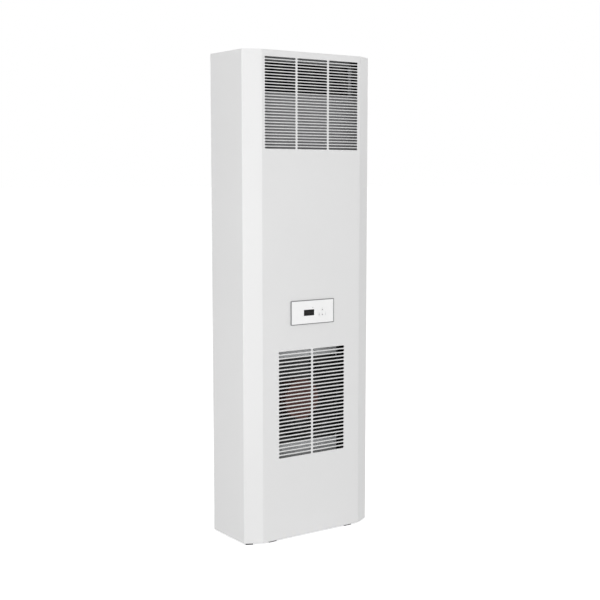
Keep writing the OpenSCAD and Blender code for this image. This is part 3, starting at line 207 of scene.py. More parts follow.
class Wiring:
    """Adds nodes to one shader node tree and links them.

    Attributes:
        MIX_INPUTS: Places of the share and of the two colours among a colour mix's inputs.
        MIX_OUTPUT: Place of the mixed colour among its outputs.
    """

    MIX_INPUTS = (0, 6, 7)
    MIX_OUTPUT = 2

    def __init__(self, tree: bpy.types.NodeTree) -> None:
        """Keeps the tree that takes the nodes."""
        self.tree = tree

    def node(self, kind: str) -> bpy.types.Node:
        """Returns a new shader node of a kind, such as Math."""
        return self.tree.nodes.new("ShaderNode" + kind)

    def feed(self, *pairs: tuple[bpy.types.NodeSocket, object]) -> None:
        """Gives inputs their links from sockets, or else plain numbers, vectors or colours.

        Args:
            pairs: Each input and its value.
        """
        for target, value in pairs:
            if isinstance(value, bpy.types.NodeSocket):
                self.tree.links.new(value, target)
            else:
                target.default_value = (*value, 1.0) if target.type == "RGBA" else value

    def put(self, group: bpy.types.NodeTree, values: dict[str, object]) -> bpy.types.Node:
        """Places a group with its own values.

        Args:
            group: The group.
            values: Sockets, numbers or colours for its inputs.

        Returns:
            The group's node.
        """
        node = self.node("Group")
        node.node_tree = group
        self.feed(*((node.inputs[label], value) for label, value in values.items()))
        return node

    def maths(self, operation: str, first: object, second: object = None, clamp: bool = False) -> bpy.types.NodeSocket:
        """Adds a math node.

        Args:
            operation: Name of the math operation.
            first: Socket or number for the first input.
            second: Socket or number for the second input, where it has one.
            clamp: Whether the result stays between 0 and 1.

        Returns:
            The result socket.
        """
        node = self.node("Math")
        node.operation = operation
        node.use_clamp = clamp
        self.feed(*((socket, value) for socket, value in zip(node.inputs, (first, second)) if value is not None))
        return node.outputs[0]

    def weighed(self, first: object, second: object, share: float) -> bpy.types.NodeSocket:
        """Returns the sum of two values, the first weighed by its share and the second by the rest."""
        return self.maths("ADD", self.maths("MULTIPLY", first, share), self.maths("MULTIPLY", second, 1 - share))

    def mixed(self, share: object, first: object, second: object) -> bpy.types.NodeSocket:
        """Adds a colour mix.

        Args:
            share: Socket or number, the weight of the second colour.
            first: Socket or colour.
            second: Socket or colour.

        Returns:
            The mixed colour socket.
        """
        node = self.node("Mix")
        node.data_type = "RGBA"
        self.feed(*zip((node.inputs[place] for place in self.MIX_INPUTS), (share, first, second)))
        return node.outputs[self.MIX_OUTPUT]

    def noise(self, scale: object, detail: float, stretch: Sequence[float] = (1, 1, 1)) -> bpy.types.NodeSocket:
        """Adds a noise texture on the object's own coordinates.

        Args:
            scale: Socket or number for the noise scale.
            detail: Noise detail.
            stretch: Stretch of the three axes.

        Returns:
            The noise value socket.
        """
        mapping, node = self.node("Mapping"), self.node("TexNoise")
        self.feed((mapping.inputs["Scale"], stretch), (mapping.inputs["Vector"], self.place()),
                  (node.inputs["Vector"], mapping.outputs[0]), (node.inputs["Scale"], scale),
                  (node.inputs["Detail"], detail))
        return node.outputs["Fac"]

    def place(self) -> bpy.types.NodeSocket:
        """Returns the object's own coordinates."""
        return self.node("TexCoord").outputs["Object"]

    def parts(self, vector: bpy.types.NodeSocket) -> bpy.types.bpy_prop_collection:
        """Splits a vector.

        Args:
            vector: Its socket.

        Returns:
            The sockets X, Y and Z.
        """
        node = self.node("SeparateXYZ")
        self.feed((node.inputs[0], vector))
        return node.outputs


class ShaderGroups:
    """Builds each shared surface effect once, as a shader node group.

    Attributes:
        FINE_DETAIL: Noise detail of the small structure.
        BROAD: Noise scale and detail of the slow drift in tone.
        ROLLED: Stretch of the coordinates that draws out the grain of rolled metal.
        SPANGLE_SHARE: Weight of a zinc crystal's own tone against the slow drift.
        CELL_GAIN: Gain on the distance within a foam cell.
        SHADE_GAIN: Swing of the colour at a shade of 1.
        ROUGHNESS_SWING: Swing of the roughness with the tone.
        BEVEL_SAMPLES: Rays that soften an edge.
        DUST: Noise scale and detail of the dust's patches.
        DUST_COLOUR: Colour of settled dust.
    """

    FINE_DETAIL = 2.0
    BROAD = (3.1, 3.0)
    ROLLED = (1, 1, 0.06)
    SPANGLE_SHARE = 0.6
    CELL_GAIN = 1.4
    SHADE_GAIN = 4.0
    ROUGHNESS_SWING = 0.18
    BEVEL_SAMPLES = 4
    DUST = (38.0, 4.0)
    DUST_COLOUR = srgb(176, 172, 164)

    @staticmethod
    def start(name: str, inputs: dict[str, float | Colour], outputs: dict[str, str]) -> tuple:
        """Makes an empty group with named sockets.

        Args:
            name: Name of the group.
            inputs: Number and colour inputs, and their first values.
            outputs: Output names and the kinds of their sockets.

        Returns:
            The group's wiring, the sockets that it is given and the sockets of its result.
        """
        tree = bpy.data.node_groups.new(name, "ShaderNodeTree")
        for label, value in inputs.items():
            coloured = isinstance(value, tuple)
            socket = tree.interface.new_socket(name=label, in_out="INPUT",
                                               socket_type="NodeSocketColor" if coloured else "NodeSocketFloat")
            socket.default_value = (*value, 1.0) if coloured else value
        for label, kind in outputs.items():
            tree.interface.new_socket(name=label, in_out="OUTPUT", socket_type="NodeSocket" + kind)
        given, result = tree.nodes.new("NodeGroupInput"), tree.nodes.new("NodeGroupOutput")
        return Wiring(tree), given.outputs, result.inputs

    @cache
    def grain(self, kind: Grain) -> bpy.types.NodeTree:
        """Returns the group for one small structure, built on first use.

        Args:
            kind: Which structure.

        Returns:
            A group with Colour, Shade, Cell, Relief, Roughness and Edge in, and Colour, Roughness and Normal out.
        """
        wires, given, result = self.start(
            kind.value, {"Colour": (0.5, 0.5, 0.5), "Shade": 0.04, "Cell": 0.001, "Relief": 0.00002, "Roughness": 0.5,
                         "Edge": 0.0004}, {"Colour": "Color", "Roughness": "Float", "Normal": "Vector"})
        scale = wires.maths("DIVIDE", 1.0, given["Cell"])
        fine = wires.noise(scale, self.FINE_DETAIL, self.ROLLED if kind is Grain.ROLLED else (1, 1, 1))
        tone = broad = wires.noise(*self.BROAD)
        if kind in (Grain.SPANGLE, Grain.FOAM):
            cells = wires.node("TexVoronoi")
            wires.feed((cells.inputs["Vector"], wires.place()), (cells.inputs["Scale"], scale))
            if kind is Grain.SPANGLE:
                crystal = wires.node("SeparateColor")
                wires.feed((crystal.inputs[0], cells.outputs["Color"]))
                tone = wires.weighed(crystal.outputs[0], broad, self.SPANGLE_SHARE)
                fine = crystal.outputs[1]
            else:
                fine = wires.maths("MULTIPLY", cells.outputs["Distance"], self.CELL_GAIN, clamp=True)
        if kind in (Grain.ROLLED, Grain.FOAM):
            tone = wires.weighed(fine, broad, 0.5)
        drift = wires.maths("SUBTRACT", tone, 0.5)
        swing = wires.maths("MULTIPLY", drift, wires.maths("MULTIPLY", given["Shade"], self.SHADE_GAIN))
        rough = wires.maths("ADD", given["Roughness"], wires.maths("MULTIPLY", drift, self.ROUGHNESS_SWING),
                            clamp=True)
        tint, soft, raised = wires.node("VectorMath"), wires.node("Bevel"), wires.node("Bump")
        tint.operation = "SCALE"
        soft.samples = self.BEVEL_SAMPLES
        wires.feed((tint.inputs[0], given["Colour"]), (tint.inputs["Scale"], wires.maths("ADD", swing, 1.0)),
                   (soft.inputs["Radius"], given["Edge"]), (raised.inputs["Normal"], soft.outputs["Normal"]),
                   (raised.inputs["Strength"], 1.0), (raised.inputs["Distance"], given["Relief"]),
                   (raised.inputs["Height"], fine), (result["Colour"], tint.outputs[0]),
                   (result["Roughness"], rough), (result["Normal"], raised.outputs["Normal"]))
        return wires.tree

    @cache
    def disc(self) -> bpy.types.NodeTree:
        """Returns the group that marks what lies beyond a radius from an axis along Y.

        Returns:
            A group with Centre Height and Radius in, and Mask out, 1 outside the disc.
        """
        wires, given, result = self.start("hub_disc", {"Centre Height": 0.0, "Radius": 0.05}, {"Mask": "Float"})
        parts = wires.parts(wires.place())
        rise = wires.maths("SUBTRACT", parts["Z"], given["Centre Height"])
        far = wires.maths("SQRT", wires.maths("ADD", wires.maths("MULTIPLY", rise, rise),
                                              wires.maths("MULTIPLY", parts["X"], parts["X"])))
        wires.feed((result["Mask"], wires.maths("GREATER_THAN", far, given["Radius"])))
        return wires.tree

    @cache
    def inner_skin(self) -> bpy.types.NodeTree:
        """Returns the group that marks the inner side of the folded hood.

        Returns:
            A group with Half Width, Front, Top, Corner, Lean X and Lean Y in, and Mask out, 1 on the inner side. Corner
            is how far the slanted corner's plane is from the middle, and Lean X and Y are that plane's direction.
        """
        wires, given, result = self.start("inner_skin", {"Half Width": 0.24, "Front": -0.1, "Top": 1.5, "Corner": 0.18,
                                                         "Lean X": 0.46, "Lean Y": 0.89}, {"Mask": "Float"})
        parts = wires.parts(wires.place())
        aside, ahead = wires.maths("ABSOLUTE", parts["X"]), wires.maths("MULTIPLY", parts["Y"], -1.0)
        slant = wires.maths("ADD", wires.maths("MULTIPLY", aside, given["Lean X"]),
                            wires.maths("MULTIPLY", ahead, given["Lean Y"]))
        mask = 1.0
        for value, test, limit in ((aside, "LESS_THAN", "Half Width"), (parts["Y"], "GREATER_THAN", "Front"),
                                   (parts["Z"], "LESS_THAN", "Top"), (slant, "LESS_THAN", "Corner")):
            mask = wires.maths("MULTIPLY", mask, wires.maths(test, value, given[limit]))
        wires.feed((result["Mask"], mask))
        return wires.tree

    @cache
    def dust(self) -> bpy.types.NodeTree:
        """Returns the group that lays dust on upward faces.

        Returns:
            A group with Colour and Amount in, and Colour out.
        """
        wires, given, result = self.start("settled_dust", {"Colour": (0.5, 0.5, 0.5), "Amount": 0.1},
                                          {"Colour": "Color"})
        parts = wires.parts(wires.node("NewGeometry").outputs["Normal"])
        upward = wires.maths("MULTIPLY", parts["Z"], 1.0, clamp=True)
        share = wires.maths("MULTIPLY", wires.maths("MULTIPLY", upward, wires.noise(*self.DUST)), given["Amount"],
                            clamp=True)
        wires.feed((result["Colour"], wires.mixed(share, given["Colour"], self.DUST_COLOUR)))
        return wires.tree


class Paintshop:
    """Turns finishes into materials and puts them on objects."""

    def __init__(self) -> None:
        """Gets the shared surface effects."""
        self.groups = ShaderGroups()

    @cache
    def material(self, finish: Finish) -> bpy.types.Material:
        """Returns the material of a finish, made on first use.

        Args:
            finish: The finish.

        Returns:
            Its material.
        """
        mat = bpy.data.materials.new(finish.name)
        mat.use_nodes = True
        wires = Wiring(mat.node_tree)
        shader = mat.node_tree.nodes["Principled BSDF"].inputs
        grain = wires.put(self.groups.grain(finish.grain), {
            "Colour": finish.colour, "Shade": finish.shade, "Cell": finish.cell, "Relief": finish.relief,
            "Roughness": finish.roughness, "Edge": finish.edge}).outputs
        dust = wires.put(self.groups.dust(), {"Colour": grain["Colour"], "Amount": finish.dust}).outputs
        wires.feed((shader["Metallic"], finish.metallic), (shader["Specular IOR Level"], finish.specular),
                   (shader["Coat Weight"], finish.coat), (shader["Base Color"], dust["Colour"]),
                   (shader["Roughness"], grain["Roughness"]), (shader["Normal"], grain["Normal"]))
        return mat

    def masked(self, finish: Finish, suffix: str, mask: bpy.types.NodeTree, limits: dict[str, float],
               other: Finish) -> bpy.types.Material:
        """Returns a finish's material that takes another finish's colour where a mask is 1.

        Args:
            finish: The finish.
            suffix: End of the material's name.
            mask: Group that puts out the mask.
            limits: Values of that group.
            other: Finish whose colour goes where the mask is 1.

        Returns:
            The material.
        """
        mat = self.material(finish).copy()
        mat.name = f"{finish.name}_{suffix}"
        wires = Wiring(mat.node_tree)
        base = mat.node_tree.nodes["Principled BSDF"].inputs["Base Color"]
        paint = base.links[0].from_socket
        share = wires.put(mask, limits).outputs["Mask"]
        wires.feed((base, wires.mixed(share, paint, other.colour)))
        return mat

    @staticmethod
    def cover(obj: bpy.types.Object, mat: bpy.types.Material) -> None:
        """Puts one material all over an object.

        Args:
            obj: The object.
            mat: The material.
        """
        if not obj.material_slots:
            obj.data.materials.append(mat)
        for material_slot in obj.material_slots:
            material_slot.material = mat


@dataclass(frozen=True)
class Lamp:
    """One soft square lamp.

    Attributes:
        name: Name of the lamp.
        place: Where it hangs.
        aim: The point that it faces.
        size: Side of the square.
        power: Power in watts.
    """

    name: str
    place: tuple[float, float, float]
    aim: tuple[float, float, float]
    size: float
    power: float

    def hang(self) -> None:
        """Hangs the lamp."""
        data = bpy.data.lights.new(self.name, "AREA")
        data.shape = "SQUARE"
        data.size = self.size
        data.energy = self.power
        lamp = bpy.data.objects.new(self.name, data)
        bpy.context.collection.objects.link(lamp)
        lamp.location = self.place
        way = Vector(self.aim) - Vector(self.place)
        lamp.rotation_euler = way.to_track_quat("-Z", "Y").to_euler()


@dataclass
class Studio:
    """The floor, the lights, the background and the camera.

    Attributes:
        camera_place: Where the photograph was taken from, in metres, with Y from the front of the hood.
        camera_yaw: Turn to the right, in degrees.
        camera_pitch: Downward tilt, in degrees.
        lens_px: Focal length in pixels of the photograph.
        photo_px: Width of the photograph in pixels.
        sensor: Width of the camera's sensor in millimetres.
        floor_size: Side of the floor.
        floor_drop: How far the floor lies below the feet.
        floor_white: Lightness of the floor.
        floor_rough: Roughness of the floor.
        floor_sheen: Specular level of the floor.
        floor_glow: Light that the floor adds for the eye and for reflections alone.
        world_light: Strength of the even light.
        lamps: The lamps: the key at the front left, and weak ones at the right and above.
    """

    camera_place: tuple[float, float, float] = (-2.064, -2.881, 1.150)
    camera_yaw: float = -34.99
    camera_pitch: float = 6.20
    lens_px: float = 1120.0
    photo_px: float = 600.0
    sensor: float = 36.0
    floor_size: float = 240.0
    floor_drop: float = 0.0005
    floor_white: float = 0.9
    floor_rough: float = 0.9
    floor_sheen: float = 0.1
    floor_glow: float = 0.62
    world_light: float = 0.455
    lamps: tuple[Lamp, ...] = (Lamp("key_lamp", (-3.9, -3.9, 1.35), (0, 0, 0.77), 3.2, 175),
                               Lamp("fill_lamp", (4.0, -1.1, 2.9), (0, 0, 0.9), 2.6, 42),
                               Lamp("top_lamp", (0.3, -0.02, 4.2), (0, 0, 0), 2.4, 10))

    def camera(self) -> None:
        """Puts the camera where the photograph was taken."""
        data = bpy.data.cameras.new("photo_camera")
        data.sensor_width = self.sensor
        data.lens = self.sensor * self.lens_px / self.photo_px
        data.clip_end = 2 * self.floor_size
        camera = bpy.data.objects.new("photo_camera", data)
        bpy.context.collection.objects.link(camera)
        x, y, z = self.camera_place
        camera.location = (x, y + FRONT_OF_SHEET, z)
        camera.rotation_euler = (math.radians(90 - self.camera_pitch), 0, math.radians(self.camera_yaw))
        bpy.context.scene.camera = camera

    @staticmethod
    def shown(wires: Wiring) -> bpy.types.NodeSocket:
        """Returns a socket that is 1 for what the camera, a reflection or glass shows.

        Args:
            wires: Wiring of the world or of a material.

        Returns:
            The socket.
        """
        path = wires.node("LightPath").outputs
        direct = wires.maths("MAXIMUM", path["Is Camera Ray"], path["Is Glossy Ray"])
        return wires.maths("MAXIMUM", direct, path["Is Transmission Ray"])

    def background(self) -> None:
        """Makes the world white to the eye and to reflections, and a plain grey light for the rest."""
        world = bpy.data.worlds.new("studio")
        bpy.context.scene.world = world
        world.use_nodes = True
        wires = Wiring(world.node_tree)
        even, seen, mix = world.node_tree.nodes["Background"], wires.node("Background"), wires.node("MixShader")
        for node, strength in ((even, self.world_light), (seen, 1.0)):
            wires.feed((node.inputs["Color"], (1, 1, 1)), (node.inputs["Strength"], strength))
        wires.feed((mix.inputs[0], self.shown(wires)), (mix.inputs[1], even.outputs[0]),
                   (mix.inputs[2], seen.outputs[0]),
                   (world.node_tree.nodes["World Output"].inputs[0], mix.outputs[0]))

    def floor(self) -> None:
        """Lays a plain white floor that still takes the object's shadow."""
        mesh = bpy.data.meshes.new("floor")
        half = self.floor_size / 2
        mesh.from_pydata([(-half, -half, 0), (half, -half, 0), (half, half, 0), (-half, half, 0)], [], [(0, 1, 2, 3)])
        floor = bpy.data.objects.new("floor", mesh)
        bpy.context.collection.objects.link(floor)
        floor.location.z = -self.floor_drop
        mat = bpy.data.materials.new("floor_white")
        mat.use_nodes = True
        mesh.materials.append(mat)
        wires = Wiring(mat.node_tree)
        shader = mat.node_tree.nodes["Principled BSDF"]
        glow, lift, both = (wires.node(kind) for kind in ("Emission", "MixShader", "AddShader"))
        wires.feed((shader.inputs["Base Color"], [self.floor_white] * 3),
                   (shader.inputs["Roughness"], self.floor_rough),
                   (shader.inputs["Specular IOR Level"], self.floor_sheen), (glow.inputs["Strength"], self.floor_glow),
                   (lift.inputs[0], self.shown(wires)), (lift.inputs[2], glow.outputs[0]),
                   (both.inputs[0], shader.outputs[0]), (both.inputs[1], lift.outputs[0]),
                   (mat.node_tree.nodes["Material Output"].inputs[0], both.outputs[0]))

    def build(self) -> None:
        """Builds the whole studio."""
        self.camera()
        self.background()
        self.floor()
        for lamp in self.lamps:
            lamp.hang()
        bpy.context.scene.view_settings.view_transform = "Standard"


class Bench:
    """Makes meshes and turns them into pieces that ride on the frame.

    Attributes:
        SHARP: Angle in degrees from which an edge of a smooth piece stays sharp.
    """

    SHARP = 38

    def __init__(self, shop: Paintshop) -> None:
        """Keeps the paintshop that dresses the pieces."""
        self.shop = shop

    @staticmethod
    def bar(mesh: bmesh.types.BMesh, low: Sequence[float], high: Sequence[float], radius: float,
            steps: int = 3) -> None:
        """Adds a bar with rounded edges to a mesh.

        Args:
            mesh: The mesh.
            low: Lowest corner.
            high: Highest corner.
            radius: Radius of the edges.
            steps: Segments of the rounding.
        """
        made = bmesh.ops.create_cube(mesh, size=1.0)["verts"]
        for vert in made:
            vert.co = Vector(lo if c < 0 else hi for c, lo, hi in zip(vert.co, low, high))
        edges = {edge for vert in made for edge in vert.link_edges}
        bmesh.ops.bevel(mesh, geom=list(edges), offset=radius, segments=steps, profile=0.5, affect="EDGES")

    @staticmethod
    def circle(count: int, radius: float = 1.0) -> list[tuple[float, float]]:
        """Returns a count of points that are evenly spaced on a circle round the origin."""
        turns = [math.tau * i / count for i in range(count)]
        return [(radius * math.cos(turn), radius * math.sin(turn)) for turn in turns]

    @staticmethod
    def slab(mesh: bmesh.types.BMesh, outline: Sequence[tuple[float, float]], front: float, back: float) -> None:
        """Adds a plate to a mesh, from the points x and z of its outline and the Y of its two faces."""
        Bench.sweep(mesh, [[Vector((x, y, z)) for x, z in outline] for y in (front, back)])

    @staticmethod
    def skin(mesh: bmesh.types.BMesh, loops: Sequence[Sequence[bmesh.types.BMVert]]) -> None:
        """Joins each closed loop of points to the next one with faces.

        Args:
            mesh: The mesh.
            loops: Loops with the same number of points each, in order.
        """
        for one, two in zip(loops, loops[1:]):
            for i in range(len(one)):
                j = (i + 1) % len(one)
                mesh.faces.new((one[i], one[j], two[j], two[i]))

    @staticmethod
    def sweep(mesh: bmesh.types.BMesh, rings: Sequence[Sequence[Vector]]) -> None:
        """Joins closed rings of points into one closed skin.

        Args:
            mesh: The mesh.
            rings: Rings with the same number of points each, in order.
        """
        made = [[mesh.verts.new(point) for point in ring] for ring in rings]
        Bench.skin(mesh, made)
        mesh.faces.new(made[0][::-1])
        mesh.faces.new(made[-1])

    def piece(self, name: str, mesh: bmesh.types.BMesh, body: str, finish: Finish,
              stands_for: Iterable[str] = (), smooth: bool = False) -> bpy.types.Object:
        """Turns a mesh into a dressed piece on a body.

        Args:
            name: Name of the piece.
            mesh: Its mesh, which is used up.
            body: Body that it rides on.
            finish: Its finish.
            stands_for: CAD nodes that it replaces.
            smooth: Whether its faces are shaded smooth, apart from sharp edges.

        Returns:
            The piece.
        """
        bmesh.ops.recalc_face_normals(mesh, faces=mesh.faces)
        data = bpy.data.meshes.new(name)
        mesh.to_mesh(data)
        mesh.free()
        if smooth:
            data.shade_smooth()
            data.set_sharp_from_angle(angle=math.radians(self.SHARP))
        made = bpy.data.objects.new(name, data)
        bpy.context.collection.objects.link(made)
        self.shop.cover(made, self.shop.material(finish))
        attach(made, body)
        if stands_for:
            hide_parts(*stands_for)
        log.info("built %s: %d faces on %s", name, len(data.polygons), body)
        return made


@dataclass
class Fitting:
    """Something that the scene adds to the frame.

    Attributes:
        bench: Where its pieces are made.
    """

    bench: Bench


@dataclass
class FinPack(Fitting):
    """A coil's pack of thin corrugated fins, at the real fine pitch.

    Attributes:
        node: CAD node that it stands for.
        name: Name of the piece.
        finish: Finish of the fins.
        pitch: Distance from fin to fin.
        thickness: Thickness of a fin.
        wave: Height of the corrugation to each side.
        folds: Number of folds over the depth.
    """

    node: str
    name: str
    finish: Finish
    pitch: float = 0.002
    thickness: float = 0.00016
    wave: float = 0.0004
    folds: int = 10

    def build(self) -> None:
        """Builds the pack inside its node's box."""
        low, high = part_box(self.node)
        mesh = bmesh.new()
        count = int((high.x - low.x - 2 * self.wave) / self.pitch)
        first = (low.x + high.x - (count - 1) * self.pitch) / 2
        for fin in range(count):
            x = first + fin * self.pitch
            near, far = [], []
            for fold in range(self.folds + 1):
                y = low.y + (high.y - low.y) * fold / self.folds
                side = self.wave if fold % 2 else -self.wave
                near.append((x + side - self.thickness / 2, y))
                far.append((x + side + self.thickness / 2, y))
            outline = near + far[::-1]
            self.bench.sweep(mesh, [[Vector((px, py, z)) for px, py in outline] for z in (low.z, high.z)])
        self.bench.piece(self.name, mesh, "chassis", self.finish, stands_for=[self.node])


@dataclass
class FoamSeal(Fitting):
    """The self-adhesive foam strip round the mounting plane, in cut lengths with butt joints.

    Attributes:
        width: Width of the strip.
        middle: Height of the strip between the two air openings.
        edge: Radius of the strip's edges.
        joint: Gap left at each butt joint.
    """

    width: float = 0.014
    middle: float = 1.0706885
    edge: float = 0.0016
    joint: float = 0.0004

    def build(self) -> None:
        """Builds the five lengths inside the gasket's box."""
        low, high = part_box("rear_gasket")
        inner_x = high.x - self.width
        mesh = bmesh.new()
        for z0 in (low.z, high.z - self.width):
            self.bench.bar(mesh, (low.x, low.y, z0), (high.x, high.y, z0 + self.width), self.edge)
        for x0 in (low.x, inner_x):
            self.bench.bar(mesh, (x0, low.y, low.z + self.width + self.joint),
                           (x0 + self.width, high.y, high.z - self.width - self.joint), self.edge)
        self.bench.bar(mesh, (-inner_x + self.joint, low.y, self.middle - self.width / 2),
                       (inner_x - self.joint, high.y, self.middle + self.width / 2), self.edge)
        self.bench.piece("foam_seal", mesh, "chassis", SEAL_FOAM, stands_for=["rear_gasket"], smooth=True)


@dataclass
class SupportFeet(Fitting):
    """Four rubber pads under the base pan, with grooves across the tread, and a short one under the left front corner.

    Attributes:
        grooves: Number of grooves in each pad.
        depth: Depth of a groove.
        wide: Width of a groove.
        corner: Radius of the pad's upright corners.
        corner_steps: Segments of that rounding.
        upright_from: Least length of an upright corner, in depths of a groove.
        slant: Width and depth of the slanted corner that the corner pad follows.
        reach: Where the corner pad starts and ends, as shares of the slanted corner.
        inset: How far the corner pad stands in from the hood's skin.
        pad_w: Width of the corner pad.
    """

    grooves: int = 3
    depth: float = 0.0012
    wide: float = 0.0018
    corner: float = 0.003
    corner_steps: int = 4
    upright_from: float = 1.5
    slant: tuple[float, float] = SLANT
    reach: tuple[float, float] = (0.07, 0.46)
    inset: float = 0.0006
    pad_w: float = 0.009

    def pads(self) -> list[tuple[float, float, float, float]]:
        """Finds the four pads in the feet's node.

        Returns:
            The least and the greatest x, and the least and the greatest y, of each pad.
        """
        corners = [v.co for v in frame["nodes"]["rubber_feet"].data.vertices]
        found = []
        for right in (False, True):
            for back in (False, True):
                own = [c for c in corners if (c.x > 0) == right and (c.y > 0) == back]
                found.append((min(c.x for c in own), max(c.x for c in own),
                              min(c.y for c in own), max(c.y for c in own)))
        return found

    def corner_pad(self, mesh: bmesh.types.BMesh) -> None:
        """Adds the short pad under the hood's left slanted corner.

        Args:
            mesh: The feet's mesh.
        """
        low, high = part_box("rubber_feet")
        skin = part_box("front_cover")[0]
        wide, deep = self.slant
        inward = Vector((deep, wide)).normalized()
        quad = []
        for share, step in ((self.reach[0], self.inset), (self.reach[1], self.inset),
                            (self.reach[1], self.pad_w), (self.reach[0], self.pad_w)):
            quad.append(Vector((skin.x + wide * share, skin.y + deep * (1 - share))) + inward * step)
        self.bench.sweep(mesh, [[Vector((p.x, p.y, z)) for p in quad] for z in (low.z, high.z)])

    def build(self) -> None:
        """Builds the pads."""
        low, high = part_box("rubber_feet")
        mesh = bmesh.new()
        for x0, x1, y0, y1 in self.pads():
            profile = [(x0, high.z), (x0, low.z)]
            step = (x1 - x0) / (self.grooves + 1)
            for groove in range(self.grooves):
                middle = x0 + step * (groove + 1)
                left, right = middle - self.wide / 2, middle + self.wide / 2
                profile += [(left, low.z), (left, low.z + self.depth), (right, low.z + self.depth), (right, low.z)]
            profile += [(x1, low.z), (x1, high.z)]
            before = set(mesh.edges)
            self.bench.slab(mesh, profile, y0, y1)
            upright = [edge for edge in mesh.edges if edge not in before
                       and abs(edge.verts[0].co.z - edge.verts[1].co.z) > self.depth * self.upright_from]
            bmesh.ops.bevel(mesh, geom=upright, offset=self.corner, segments=self.corner_steps, profile=0.5,
                            affect="EDGES")
        self.corner_pad(mesh)
        self.bench.piece("foot_pads", mesh, "chassis", DARK_RUBBER, stands_for=["rubber_feet"], smooth=True)


